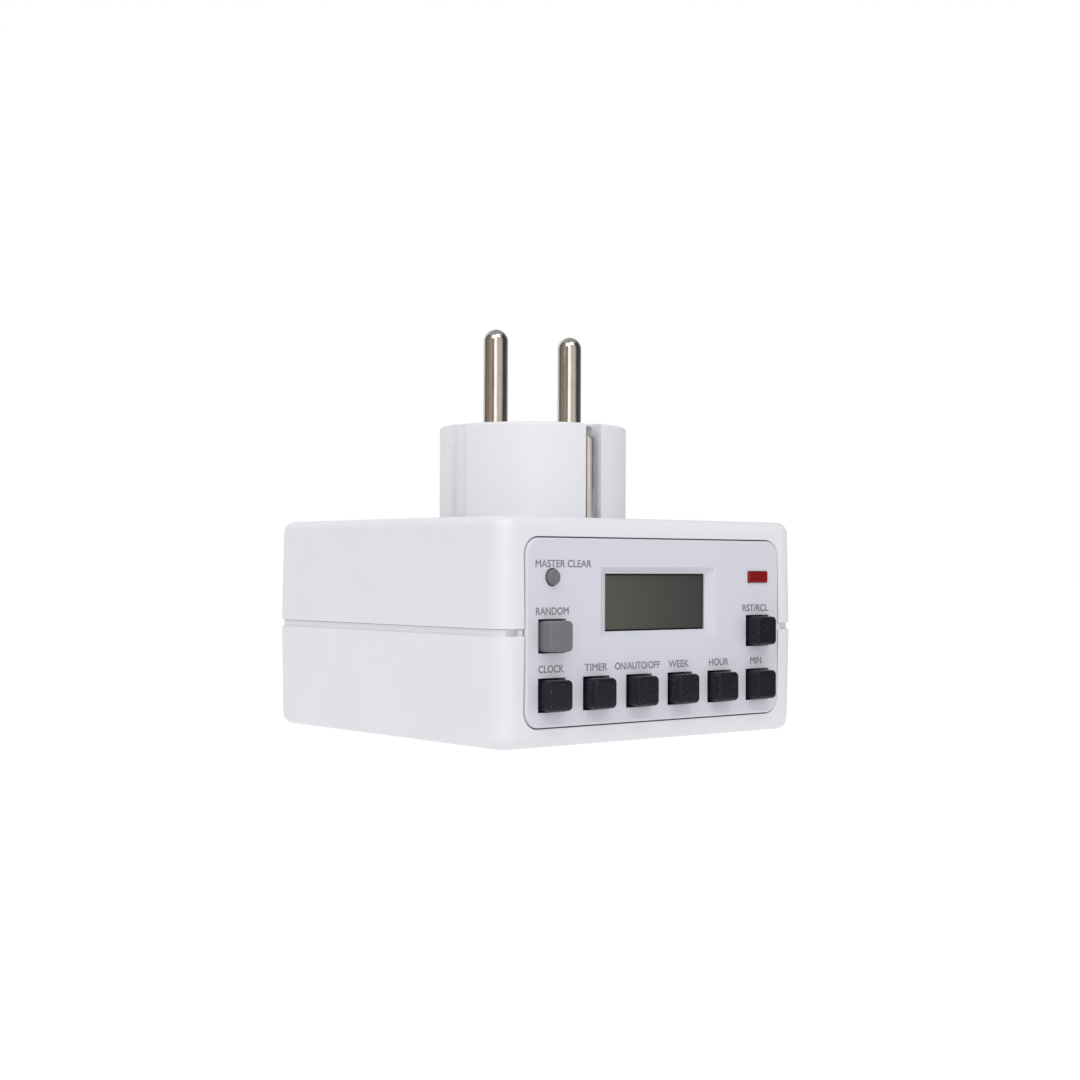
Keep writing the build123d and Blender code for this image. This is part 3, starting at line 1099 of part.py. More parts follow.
def film_capacitor():
    """The interference capacitor, a moulded box between the recess and the side wall."""
    width, length, height = FILM_CAPACITOR_SIZE
    centre_x = (RECESS_OUTER_RADIUS + INNER_X) / 2
    far_y = REAR_BOSS_Y - BOSS_RADIUS - FILM_CAPACITOR_BOSS_GAP
    heights = (POWER_BOARD_TOP + CONTACT_SEAT, POWER_BOARD_TOP + height)
    box = block((centre_x - width / 2, centre_x + width / 2), (far_y - length, far_y), heights)
    return fillet(box.faces().sort_by(Axis.Z)[-1].edges(), PART_EDGE_ROUND)


def smoothing_capacitor():
    """The electrolytic capacitor in its can."""
    heights = (POWER_BOARD_TOP + CONTACT_SEAT, POWER_BOARD_TOP + CAN_HEIGHT)
    return rim_rounded(disc(CAN_RADIUS, heights, CAN_PLACE), PART_EDGE_ROUND)


def varistor():
    """The surge absorber, a lacquered disc on two legs."""
    x = -(INNER_X - VARISTOR_INSET)
    middle_y = CAN_PLACE[1] - VARISTOR_FROM_CAN
    centre_z = POWER_BOARD_TOP + VARISTOR_RISE
    half = VARISTOR_THICKNESS / 2
    body = disc_y(VARISTOR_RADIUS, middle_y - half, middle_y + half, (x, centre_z))
    body = fillet(body.edges(), VARISTOR_EDGE_ROUND)
    for side in (-1, 1):
        leg_place = (x + side * VARISTOR_LEG_SPACING / 2, middle_y)
        body += disc(VARISTOR_LEG_RADIUS, (POWER_BOARD_TOP, centre_z), leg_place)
    return body


def axial_part(length, radius, lead_reach, x, y):
    """A component that lies along X with its two leads bent down to the board."""
    z = POWER_BOARD_TOP + PART_STANDOFF + radius
    points = [
        (x - lead_reach, y, POWER_BOARD_TOP),
        (x - lead_reach, y, z),
        (x + lead_reach, y, z),
        (x + lead_reach, y, POWER_BOARD_TOP),
    ]
    body = Pos(x, y, z) * Rot(0, 90, 0) * Cylinder(radius, length)
    return fillet(body.edges(), radius / 4) + wire(points, AXIAL_WIRE_BEND, AXIAL_WIRE_RADIUS)


def rectifier_diodes():
    """Four diodes side by side."""
    x = -(INNER_X - DIODE_INSET)
    rows = [FIRST_DIODE_Y - DIODE_PITCH * number for number in range(DIODE_COUNT)]
    return Compound([axial_part(DIODE_LENGTH, DIODE_RADIUS, DIODE_REACH, x, y) for y in rows])


def dropper_resistors():
    """Two power resistors in the capacitive supply."""
    x = INNER_X - RESISTOR_INSET
    rows = [axial_part(RESISTOR_LENGTH, RESISTOR_RADIUS, RESISTOR_REACH, x, y) for y in RESISTOR_ROWS]
    return Compound(rows)


def driver_transistor():
    """The small transistor that switches the relay's coil."""
    x = RECESS_OUTER_RADIUS + TRANSISTOR_OUTSET
    bottom = POWER_BOARD_TOP + TRANSISTOR_RISE
    top = bottom + TRANSISTOR_HEIGHT
    body = disc(TRANSISTOR_RADIUS, (bottom, top), (x, TRANSISTOR_Y))
    flat = (TRANSISTOR_Y + TRANSISTOR_FLAT, TRANSISTOR_Y + TRANSISTOR_RADIUS + CUT)
    body -= block((x - TRANSISTOR_RADIUS, x + TRANSISTOR_RADIUS), flat, (bottom - CUT, top + CUT))
    half = TRANSISTOR_LEG_WIDTH / 2
    for number in (-1, 0, 1):
        leg_x = x + number * LEG_PITCH
        leg_y = (TRANSISTOR_Y - half, TRANSISTOR_Y + half)
        body += block((leg_x - half, leg_x + half), leg_y, (POWER_BOARD_TOP, bottom + LOOSE_FIT))
    return body


def board_headers():
    """The two sockets of the ribbon cable, one on each board."""
    width = (HEADER_X - HEADER_WIDTH / 2, HEADER_X + HEADER_WIDTH / 2)
    half = HEADER_THICKNESS / 2
    lower = block(width, (HEADER_Y - half, HEADER_Y + half), (POWER_BOARD_TOP + CONTACT_SEAT, HEADER_TOP_Z))
    upper_y = (BOARD_BACK_Y + CONTACT_SEAT, UPPER_HEADER_BACK_Y)
    upper = block(width, upper_y, (RIBBON_Z - half, RIBBON_Z + half))
    return Compound([lower, upper])


def ribbon_cable():
    """The flat cable between the two boards."""
    points = [
        (UPPER_HEADER_BACK_Y + CONTACT_SEAT, RIBBON_Z),
        (HEADER_Y, RIBBON_Z),
        (HEADER_Y, HEADER_TOP_Z + CONTACT_SEAT),
    ]
    width = HEADER_WIDTH - 2 * RIBBON_MARGIN
    return Pos(HEADER_X, 0, 0) * strip(Plane.YZ, points, RIBBON_BEND, RIBBON_THICKNESS, width)


def mains_lead(start_z, far_x, y, radius):
    """An insulated wire from a busbar's leg out and down to the power board."""
    start_x = math.copysign(LEG_OUTER_X + CONTACT_SEAT, far_x)
    end_z = POWER_BOARD_TOP + CONTACT_SEAT
    points = [(start_x, y, start_z), (far_x, y, start_z), (far_x, y, end_z)]
    return wire(points, MAINS_WIRE_BEND, radius)


def line_lead():
    """Live wire to the power board."""
    far_x = -(INNER_X - LINE_LEAD_INSET)
    return mains_lead(INNER_TOP_Z - LINE_LEAD_DROP, far_x, LINE_LEAD_Y, MAINS_WIRE_RADIUS)


def load_lead():
    """Switched wire back from the power board."""
    far_x = -(RECESS_OUTER_RADIUS + LOAD_LEAD_OUTSET)
    return mains_lead(CLIP_BOTTOM_Z + LOAD_LEAD_RISE, far_x, LOAD_LEAD_Y, MAINS_WIRE_RADIUS)


def neutral_lead():
    """Neutral wire for the timer's own supply."""
    far_x = INNER_X - NEUTRAL_LEAD_INSET
    return mains_lead(INNER_TOP_Z - NEUTRAL_LEAD_DROP, far_x, NEUTRAL_LEAD_Y, SMALL_WIRE_RADIUS)


# ---------------------------------------------------------------- relay
def relay_block(x_range, half_width, z_range):
    """A box centred on the relay's middle plane."""
    return block(x_range, (RELAY_Y - half_width, RELAY_Y + half_width), z_range)


def coil_disc(radius, z_range):
    """An upright cylinder on the coil's axis."""
    return disc(radius, z_range, (COIL_X, RELAY_Y))


def relay_base():
    """The relay's moulded base, with a slot for the fixed contact's terminal."""
    reach = RELAY_INNER_X - RUNNING_FIT
    half = RELAY_INNER_HALF - RUNNING_FIT
    base = relay_block((-reach, reach), half, (POWER_BOARD_TOP + CONTACT_SEAT, RELAY_BASE_TOP))
    slot_x = (TERMINAL_X - TERMINAL_SLOT_CLEARANCE, reach + CUT)
    slot_half = TERMINAL_HALF + TERMINAL_SLOT_CLEARANCE
    return base - relay_block(slot_x, slot_half, (POWER_BOARD_TOP - CUT, RELAY_BASE_TOP + CUT))


def relay_cover():
    """The relay's dust cover."""
    half_length = RELAY_LENGTH / 2
    top = POWER_BOARD_TOP + RELAY_HEIGHT
    outer = relay_block((-half_length, half_length), RELAY_WIDTH / 2, (POWER_BOARD_TOP + LOOSE_FIT, top))
    outer = fillet(outer.faces().sort_by(Axis.Z)[-1].edges(), RELAY_EDGE_ROUND)
    hollow_z = (POWER_BOARD_TOP - CUT, top - RELAY_COVER_WALL)
    return outer - relay_block((-RELAY_INNER_X, RELAY_INNER_X), RELAY_INNER_HALF, hollow_z)


def relay_bobbin():
    """The coil former."""
    bobbin = coil_disc(CORE_RADIUS + BOBBIN_TUBE, (BOBBIN_BOTTOM, BOBBIN_TOP))
    flange_x = (COIL_X - BOBBIN_HALF, COIL_X + BOBBIN_HALF)
    for low in (BOBBIN_BOTTOM, BOBBIN_TOP - BOBBIN_FLANGE):
        bobbin += relay_block(flange_x, BOBBIN_HALF, (low, low + BOBBIN_FLANGE))
    return bobbin - coil_disc(CORE_RADIUS + RUNNING_FIT, (BOBBIN_BOTTOM - CUT, BOBBIN_TOP + CUT))


def relay_coil():
    """The winding."""
    low = BOBBIN_BOTTOM + BOBBIN_FLANGE + RUNNING_FIT
    high = BOBBIN_TOP - BOBBIN_FLANGE - RUNNING_FIT
    bore = CORE_RADIUS + BOBBIN_TUBE + RUNNING_FIT
    return coil_disc(COIL_RADIUS, (low, high)) - coil_disc(bore, (low - CUT, high + CUT))


def relay_core():
    """The iron core with its pole face."""
    core = coil_disc(CORE_RADIUS, (BOBBIN_BOTTOM - RUNNING_FIT, POLE_TOP))
    return core + coil_disc(POLE_RADIUS, (BOBBIN_TOP + RUNNING_FIT, POLE_TOP))


def relay_yoke():
    """The L-shaped yoke: foot under the coil and an upright whose top edge carries the armature."""
    bottom = RELAY_BASE_TOP + CONTACT_SEAT
    outer_x = YOKE_X + YOKE_THICKNESS
    foot = relay_block((COIL_X - BOBBIN_HALF, outer_x), YOKE_HALF, (bottom, RELAY_BASE_TOP + YOKE_THICKNESS))
    return foot + relay_block((YOKE_X, outer_x), YOKE_HALF, (bottom, HINGE_Z - RUNNING_FIT))


def relay_armature():
    """The iron plate on the yoke's edge, with the contact blade riveted on top."""
    plate_x = (COIL_X - ARMATURE_REACH, YOKE_X + YOKE_THICKNESS + COLLAR_CLEARANCE)
    plate = relay_block(plate_x, ARMATURE_HALF, (HINGE_Z, ARMATURE_TOP))
    blade_x = (COIL_X + CUT, CONTACT_X + CONTACT_RADIUS + LOOSE_FIT)
    blade = relay_block(blade_x, BLADE_HALF, (ARMATURE_TOP, ARMATURE_TOP + BLADE_THICKNESS))
    rivet_z = (ARMATURE_TOP - SINK, ARMATURE_TOP + CONTACT_RISE)
    return plate + blade + disc(CONTACT_RADIUS, rivet_z, (CONTACT_X, RELAY_Y))


def relay_fixed_contact():
    """The fixed contact on its terminal."""
    outer_x = TERMINAL_X + TERMINAL_THICKNESS
    terminal_top = TERMINAL_Z + TERMINAL_THICKNESS
    contact = disc(CONTACT_RADIUS, (FIXED_CONTACT_Z, terminal_top), (CONTACT_X, RELAY_Y))
    arm_x = (CONTACT_X - CONTACT_RADIUS, outer_x)
    contact += relay_block(arm_x, TERMINAL_HALF, (TERMINAL_Z, terminal_top))
    leg_z = (POWER_BOARD_TOP + RUNNING_FIT, terminal_top)
    return contact + relay_block((TERMINAL_X, outer_x), TERMINAL_HALF, leg_z)


# ---------------------------------------------------------------- the whole assembly
def all_nodes():
    """Every piece by its name."""
    front_strip = earth_strip()
    nodes = {
        "front_housing": front_housing(),
        "rear_housing": rear_housing(),
        "control_panel": control_panel(),
        "lcd_cell": lcd_cell(),
        "lcd_frame": lcd_frame(),
        "zebra_strips": zebra_strips(),
        "keypad_sheet": keypad_sheet(),
        "contact_pads": contact_pads(),
        "indicator_led": indicator_led(),
        "control_board": control_board(),
        "controller_chip": controller_chip(),
        "crystal_can": crystal_can(),
        "backup_cell": backup_cell(),
        "cell_clip": cell_clip(),
        "board_screws": board_screws(),
        "housing_screws": housing_screws(),
        "line_pin": plug_pin(-1),
        "neutral_pin": plug_pin(1),
        "pin_carrier": pin_carrier(),
        "line_busbar": busbar(-1, LINE_LEG_BOTTOM),
        "neutral_busbar": busbar(1, CLIP_BOTTOM_Z),
        "load_busbar": load_busbar(),
        "load_contact": socket_clip(-1),
        "neutral_contact": socket_clip(1),
        "contact_carrier": contact_carrier(),
        "front_earth_strip": front_strip,
        "rear_earth_strip": turned(front_strip),
        "earth_bridge": earth_bridge(),
        "socket_shutter": socket_shutter(),
        "shutter_spring": shutter_spring(),
        "power_board": power_board(),
        "film_capacitor": film_capacitor(),
        "smoothing_capacitor": smoothing_capacitor(),
        "varistor": varistor(),
        "rectifier_diodes": rectifier_diodes(),
        "dropper_resistors": dropper_resistors(),
        "driver_transistor": driver_transistor(),
        "board_headers": board_headers(),
        "ribbon_cable": ribbon_cable(),
        "line_lead": line_lead(),
        "load_lead": load_lead(),
        "neutral_lead": neutral_lead(),
        "relay_base": relay_base(),
        "relay_cover": relay_cover(),
        "relay_bobbin": relay_bobbin(),
        "relay_coil": relay_coil(),
        "relay_core": relay_core(),
        "relay_yoke": relay_yoke(),
        "relay_armature": relay_armature(),
        "relay_fixed_contact": relay_fixed_contact(),
        "reset_button": reset_button(),
    }
    for name, place in KEY_PLACES.items():
        nodes[name] = square_key(place)
    return nodes


os.makedirs("parts", exist_ok=True)
for node_name, shape in all_nodes().items():
    export_step(shape, f"parts/{node_name}.step")
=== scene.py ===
# %% [markdown]
# # A plug-in timer switch
#
# This lesson dresses a timer switch that plugs into a wall socket. A white housing stands on
# its socket face. The round plug body with its two nickel pins points up, and a panel on one
# side carries a display, a red lamp and nine rubber keys.
#
# The rigid pieces arrive ready-made at their real size. What is left for Blender is what the
# eye reads as real: how each surface takes the light, the printed words, and the small
# repeated things such as screw threads and windings. The lesson loads the rigid pieces first,
# because everything else is measured from them.

import json
import math

import bmesh
import bpy
from mathutils import Matrix, Vector


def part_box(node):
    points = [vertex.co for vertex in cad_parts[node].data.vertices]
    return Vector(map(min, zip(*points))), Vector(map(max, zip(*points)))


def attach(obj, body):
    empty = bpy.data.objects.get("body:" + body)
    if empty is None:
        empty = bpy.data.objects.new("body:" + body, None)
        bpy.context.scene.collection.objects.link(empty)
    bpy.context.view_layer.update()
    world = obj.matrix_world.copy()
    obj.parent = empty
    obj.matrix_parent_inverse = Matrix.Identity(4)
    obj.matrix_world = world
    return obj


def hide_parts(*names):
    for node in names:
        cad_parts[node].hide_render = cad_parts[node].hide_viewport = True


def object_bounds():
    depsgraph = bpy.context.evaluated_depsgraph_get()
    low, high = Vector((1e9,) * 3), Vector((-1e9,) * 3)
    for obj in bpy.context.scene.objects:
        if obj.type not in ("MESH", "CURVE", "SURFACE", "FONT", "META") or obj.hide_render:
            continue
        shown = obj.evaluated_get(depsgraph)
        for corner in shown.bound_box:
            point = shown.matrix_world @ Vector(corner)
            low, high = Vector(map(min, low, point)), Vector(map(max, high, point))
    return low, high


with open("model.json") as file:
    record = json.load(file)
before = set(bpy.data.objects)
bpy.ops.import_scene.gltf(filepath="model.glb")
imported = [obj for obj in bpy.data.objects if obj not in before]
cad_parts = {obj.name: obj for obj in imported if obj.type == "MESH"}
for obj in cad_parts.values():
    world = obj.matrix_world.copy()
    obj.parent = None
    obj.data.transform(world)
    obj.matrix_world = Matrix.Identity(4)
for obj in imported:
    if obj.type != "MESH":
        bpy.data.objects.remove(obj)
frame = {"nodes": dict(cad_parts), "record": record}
start_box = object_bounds()

MM = 0.001
scene = bpy.context.scene
scene.view_settings.view_transform = "Standard"


def new_object(name, data):
    """A new object in the scene."""
    made = bpy.data.objects.new(name, data)
    scene.collection.objects.link(made)
    return made


# %% [markdown]
# ## The camera
#
# The camera stands just over three quarters of the way up the housing, turned to show the panel
# and the left side. A lens of about 60 mm from 36 cm away gives the strong perspective that
# makes the panel's near edge taller than its far edge.
#
# A Track To constraint could aim it, but would give no control over a slight roll. Three angles
# and a place say exactly where the camera is, so the script builds its three axes from them.

# %% Aim the camera
FOCAL_LENGTH = 59.53
SENSOR_WIDTH = 36.0
CAMERA_PLACE = Vector((-225.7, -276.3, 31.64)) * MM
CAMERA_HEADING = math.radians(39.485)
CAMERA_TILT = math.radians(0.860)
CAMERA_ROLL = math.radians(0.213)
CLIP_START = 0.01

flat = math.cos(CAMERA_TILT)
forward = Vector((math.sin(CAMERA_HEADING) * flat, math.cos(CAMERA_HEADING) * flat,
                  math.sin(CAMERA_TILT)))
level_right = Vector((math.cos(CAMERA_HEADING), -math.sin(CAMERA_HEADING), 0.0))
level_up = level_right.cross(forward)
camera_right = math.cos(CAMERA_ROLL) * level_right + math.sin(CAMERA_ROLL) * level_up
camera_up = math.cos(CAMERA_ROLL) * level_up - math.sin(CAMERA_ROLL) * level_right

camera = new_object("camera", bpy.data.cameras.new("camera"))
camera.data.lens = FOCAL_LENGTH
camera.data.sensor_width = SENSOR_WIDTH
camera.data.clip_start = CLIP_START
camera_axes = Matrix((camera_right, camera_up, -forward)).transposed().to_4x4()
camera.matrix_world = Matrix.Translation(CAMERA_PLACE) @ camera_axes
scene.camera = camera
print("camera distance in mm:", round(CAMERA_PLACE.length / MM))

# %% [markdown]
# ## Helpers for materials and node trees
#
# Colours are easiest to name as the hex values that a paint program shows, but a render works
# in linear light, so one function converts them. A second function adds a node to any tree:
# it takes plain values for some inputs and other nodes' outputs for the rest, which keeps each
# material as short as its description. The others do one sum, map a range of values to another,
# and turn a size in millimetres into the scale of a texture.

# %% Colour and node helpers
NOISE_RANGE = (0.3, 0.7)


def linear(hex_colour):
    """A hex colour in linear light with full alpha, by the sRGB standard's numbers."""
    channels = [int(hex_colour[start:start + 2], 16) / 255 for start in (1, 3, 5)]
    light = [((c + 0.055) / 1.055) ** 2.4 if c > 0.04045 else c / 12.92 for c in channels]
    return (*light, 1.0)


def add(tree, kind, inputs=None, **settings):
    """Adds one node. An input takes a value, or another node's output socket to link."""
    made = tree.nodes.new(kind)
    for name, value in settings.items():
        setattr(made, name, value)
    for key, value in (inputs or {}).items():
        if isinstance(value, bpy.types.NodeSocket):
            tree.links.new(value, made.inputs[key])
        else:
            made.inputs[key].default_value = value
    return made


def calculate(tree, operation, first, second):
    """The result of one sum on two numbers."""
    return add(tree, "ShaderNodeMath", {0: first, 1: second}, operation=operation).outputs[0]


def span(tree, value, low, high, ends=NOISE_RANGE):
    """Maps a value, by default a noise in its usual range, to a range of other values."""
    start, end = ends
    limits = {"Value": value, "From Min": start, "From Max": end, "To Min": low, "To Max": high}
    return add(tree, "ShaderNodeMapRange", limits).outputs[0]


def per_mm(size):
    """The texture scale that gives a pattern features of this size in millimetres."""
    return 1 / (size * MM)


print("mid grey in linear light:", round(linear("#808080")[0], 3))

# %% [markdown]
# ## Light and floor
#
# Moulded plastic in a catalogue is shown in a light tent: white all round, so that no face is
# dark, with two soft boxes to give the form brighter and less bright sides. The world gives the
# all-round light, at a level below white. Rays that come from the camera, or by way of a
# reflection, see the tent itself, which is white.
#
# The floor is the tent's own sweep, a translucent sheet lit from below. It glows most for those
# same rays, so it melts into the background and still takes the soft shadow of the switch. For
# the rays that light a surface it glows a little less. From below it is clear, so that the
# socket can be looked at. Its squares are small near the middle, because a ray that starts just
# above one very large face can miss it.
#
# The stage is in metres, and the switch in millimetres that are multiplied by MM.

# %% Light the tent
WHITE = "#FFFFFF"
TENT_LEVEL = 0.72
LAMP_AIM = Vector((0.0, 0.0, 0.03))
# Each soft box: its name, its place, its width and its power in watts.
SOFT_BOXES = (
    ("soft_box_left", (-0.60, -0.35, 0.75), 0.6, 1.8),
    ("soft_box_front", (-0.05, -0.60, 0.90), 0.5, 1.8),
)


def seen_directly(tree):
    """1 for rays from the camera, gloss or glass, and 0 for those that light a surface."""
    path = add(tree, "ShaderNodeLightPath").outputs
    mirrored = calculate(tree, "MAXIMUM", path["Is Glossy Ray"], path["Is Camera Ray"])
    return calculate(tree, "MAXIMUM", mirrored, path["Is Transmission Ray"])


def light_the_world():
    """White where it is looked at, and a softer level where it lights the switch."""
    world = bpy.data.worlds.new("light_tent")
    world.use_nodes = True
    tree = world.node_tree
    tree.nodes.clear()
    strength = span(tree, seen_directly(tree), TENT_LEVEL, 1.0, ends=(0.0, 1.0))
    background = add(tree, "ShaderNodeBackground", {"Color": linear(WHITE), "Strength": strength})
    add(tree, "ShaderNodeOutputWorld", {"Surface": background.outputs[0]})
    scene.world = world


def soft_box(name, place, width, power):
    """A square area lamp that faces the switch."""
    lamp = new_object(name, bpy.data.lights.new(name, "AREA"))
    lamp.data.size = width
    lamp.data.energy = power
    lamp.location = place
    aim = LAMP_AIM - lamp.location
    lamp.rotation_euler = aim.to_track_quat("-Z", "Y").to_euler()


light_the_world()
for box_facts in SOFT_BOXES:
    soft_box(*box_facts)
print("soft boxes:", len(SOFT_BOXES))

# %% Lay the floor
FLOOR_COLOUR = "#7C7C7C"
FLOOR_GLOW = 0.88
FLOOR_FILL = 0.75
FLOOR_LINES = (-3.0, -0.5, -0.12, -0.04, 0.0, 0.04, 0.12, 0.5, 3.0)
FLOOR_DROP = 0.1


def empty_material(name):
    """A material with its nodes switched on and none in it yet."""
    material = bpy.data.materials.new(name)
    material.use_nodes = True
    material.node_tree.nodes.clear()
    return material


def floor_material():
    """A glowing matt sheet that takes a faint shadow, and is clear from below."""
    material = empty_material("glowing_white_sheet")
    tree = material.node_tree
    sheet = add(tree, "ShaderNodeBsdfDiffuse", {"Color": linear(FLOOR_COLOUR)})
    strength = span(tree, seen_directly(tree), FLOOR_FILL, FLOOR_GLOW, ends=(0.0, 1.0))
    glow = add(tree, "ShaderNodeEmission", {"Color": linear(WHITE), "Strength": strength})
    lit = add(tree, "ShaderNodeAddShader", {0: sheet.outputs[0], 1: glow.outputs[0]})
    clear = add(tree, "ShaderNodeBsdfTransparent")
    from_below = add(tree, "ShaderNodeNewGeometry").outputs["Backfacing"]
    both = add(tree, "ShaderNodeMixShader", {0: from_below, 1: lit.outputs[0], 2: clear.outputs[0]})
    add(tree, "ShaderNodeOutputMaterial", {"Surface": both.outputs[0]})
    return material


def stand_mesh(name, points, faces, material):
    """A mesh in the scene, in one material."""
    mesh = bpy.data.meshes.new(name)
    mesh.from_pydata(points, [], faces)
    mesh.materials.append(material)
    return new_object(name, mesh)


def lay_floor(height):
    """A flat grid of squares at one height, under the switch and no part of it."""
    corners = [(x, y, height) for y in FLOOR_LINES for x in FLOOR_LINES]
    row = len(FLOOR_LINES)
    starts = [start for start in range(row * (row - 1)) if (start + 1) % row]
    squares = [(start, start + 1, start + row + 1, start + row) for start in starts]
    floor = stand_mesh("floor", corners, squares, floor_material())


floor_height = start_box[0][2] - FLOOR_DROP * MM
lay_floor(floor_height)
print("floor height in mm:", round(floor_height / MM, 3))

# %% [markdown]
# ## Cards for the metal to see
#
# Polished metal has little colour of its own: it shows what stands round it. In an all-white
# tent a nickel pin would look like grey plastic, so a product photographer stands white and
# black cards round the object, and each shows as one upright stripe on every round pin.
#
# The cards are curved strips round one centre. A direction is an angle from straight ahead of
# the panel, positive to the panel's right. A black sheet on the floor keeps the pale floor out
# of the display and the keys. Only reflections see the cards, so they change no other light.

# %% Stand the cards
CARD_RADIUS = 1.0
CARD_HEIGHT = 1.2
CARD_STEP = 5.0
CARD_FOOT = start_box[0][2] + MM
WALL_FOOT = (CARD_RADIUS, CARD_FOOT)
WALL_TOP = (CARD_RADIUS, CARD_HEIGHT)
CREAM_WHITE = "#FFF6F0"
WARM_WHITE = "#FFEAD2"
# Each card: its name, its first and last direction in degrees, its brightness and its tint.
CARDS = (
    ("soft_box_card", -52, -27, 1.60, WHITE),
    ("pale_card", -27, 20, 0.70, CREAM_WHITE),
    ("grey_card", 20, 31, 0.36, WHITE),
    ("black_card", 31, 80, 0.06, WHITE),
    ("dark_card", 80, 105, 0.20, WHITE),
    ("side_card", 105, 145, 0.45, WHITE),
    ("back_card", 145, 204, 0.80, WHITE),
    ("key_side_card", 204, 224, 0.08, WHITE),
    ("wood_card_back", 224, 262, 0.28, WARM_WHITE),
    ("wood_card_side", 262, 288, 0.44, WARM_WHITE),
    ("wood_card_front", 288, 308, 0.26, WARM_WHITE),
)
CEILING_LEVEL = 0.42
SHEET_START = 20
SHEET_END = 105
SHEET_INNER_RADIUS = 0.085
SHEET_LEVEL = 0.05


def glowing(name, level, tint):
    """A material that glows evenly."""
    material = empty_material(name)
    tree = material.node_tree
    glow = add(tree, "ShaderNodeEmission", {"Color": linear(tint), "Strength": level})
    add(tree, "ShaderNodeOutputMaterial", {"Surface": glow.outputs[0]})
    return material


def stand_card(name, points, faces, level, tint):
    """A card that only reflections can see."""
    card = stand_mesh(name, points, faces, glowing(name, level, tint))
    for ray in ("camera", "diffuse", "transmission", "volume_scatter", "shadow"):
        setattr(card, "visible_" + ray, False)


def curved_card(name, start, end, near, far, level, tint):
    """A strip between two directions. Its near and far edges are each a radius and a height."""
    steps = math.ceil((end - start) / CARD_STEP)
    points = []
    for step in range(steps + 1):
        turn = math.radians(start + (end - start) * step / steps)
        for radius, height in (near, far):
            points.append((radius * math.sin(turn), -radius * math.cos(turn), height))
    faces = [(2 * step, 2 * step + 2, 2 * step + 3, 2 * step + 1) for step in range(steps)]
    stand_card(name, points, faces, level, tint)


for card_name, first, last, card_level, card_tint in CARDS:
    curved_card(card_name, first, last, WALL_FOOT, WALL_TOP, card_level, card_tint)
curved_card("black_sheet", SHEET_START, SHEET_END, (SHEET_INNER_RADIUS, CARD_FOOT), WALL_FOOT,
            SHEET_LEVEL, WHITE)
curved_card("ceiling_card", 0, 360, (0.0, CARD_HEIGHT), WALL_TOP, CEILING_LEVEL, WHITE)
print("cards:", len(CARDS) + 2)

# %% [markdown]
# ## Material building blocks
#
# Almost every finish here is one Principled shader with two patterns: a broad one that shifts
# the colour a little, as in any moulding or plating, and a fine one that breaks the gloss.
# Both read Object coordinates, so the pattern stays on the piece when it moves. A finish is
# then a short list of real facts: colour, how far it varies, roughness, and grain size.

# %% A finish from its real facts
BROAD_DETAIL = 2.0
FINE_DETAIL = 3.0


def new_material(name):
    """An empty node material and the Object coordinates that its patterns read."""
    material = empty_material(name)
    place = add(material.node_tree, "ShaderNodeTexCoord").outputs["Object"]
    return material, material.node_tree, place


def grain(tree, place, size, detail=BROAD_DETAIL, stretch=None):
    """Noise with features of a size in millimetres, and, if stretched, long in one direction."""
    if stretch:
        place = add(tree, "ShaderNodeMapping", {"Vector": place, "Scale": stretch}).outputs[0]
    pattern = {"Vector": place, "Scale": per_mm(size), "Detail": detail}
    return add(tree, "ShaderNodeTexNoise", pattern).outputs["Fac"]


def blend_colours(tree, factor, first, second):
    """Mixes two hex colours by a pattern."""
    ramp = add(tree, "ShaderNodeValToRGB", {"Fac": factor})
    ramp.color_ramp.elements[0].color = linear(first)
    ramp.color_ramp.elements[1].color = linear(second)
    return ramp.outputs["Color"]


def bumps(tree, height, depth):
    """Surface relief of a depth in millimetres."""
    relief = {"Height": height, "Strength": 1.0, "Distance": depth * MM}
    return add(tree, "ShaderNodeBump", relief).outputs["Normal"]


def surface(tree, **inputs):
    """The Principled shader, with underscores for the spaces in its inputs' names."""
    values = {name.replace("_", " "): value for name, value in inputs.items()}
    shader = add(tree, "ShaderNodeBsdfPrincipled", values)
    add(tree, "ShaderNodeOutputMaterial", {"Surface": shader.outputs[0]})
    return shader


def plain_finish(name, colours, roughness, broad, fine, depth, **extra):
    """A colour that varies broadly under a gloss that a fine grain breaks up, all sizes in mm."""
    material, tree, place = new_material(name)
    patches = span(tree, grain(tree, place, broad), 0.0, 1.0)
    texture = grain(tree, place, fine, FINE_DETAIL)
    surface(tree, Base_Color=blend_colours(tree, patches, *colours),
            Roughness=span(tree, texture, *roughness), Normal=bumps(tree, texture, depth), **extra)
    return material


print("noise is used from", NOISE_RANGE[0], "to", NOISE_RANGE[1])

# %% [markdown]
# ## The housing's plastic
#
# The shells and the panel are injection-moulded ABS in a cool white. The steel mould was
# spark-eroded to a fine matt, so highlights are wide and soft, and the plastic's flow leaves
# clouds that can only just be seen. The panel comes from another mould, a shade bluer.
#
# Spark erosion has a grain of about 0.1 mm. That is less than one pixel here, so the grain is
# drawn at 0.5 mm, with a very small depth, to keep the same soft look.

# %% Moulded white ABS
ABS_IOR = 1.53
ABS_GRAIN = 0.5
ABS_FLOW = 14.0
ABS_RELIEF = 0.004
ABS_ROUGHNESS = (0.36, 0.46)


def moulded_abs(name, colours):
    """Moulded ABS in one shade of white."""
    return plain_finish(name, colours, ABS_ROUGHNESS, ABS_FLOW, ABS_GRAIN, ABS_RELIEF, IOR=ABS_IOR)


housing_abs = moulded_abs("spark_eroded_white_abs", ("#E7E7EC", "#E9E9EE"))
panel_abs = moulded_abs("panel_white_abs", ("#D7D8E2", "#D9DAE4"))
print("plastic grain in mm:", ABS_GRAIN)

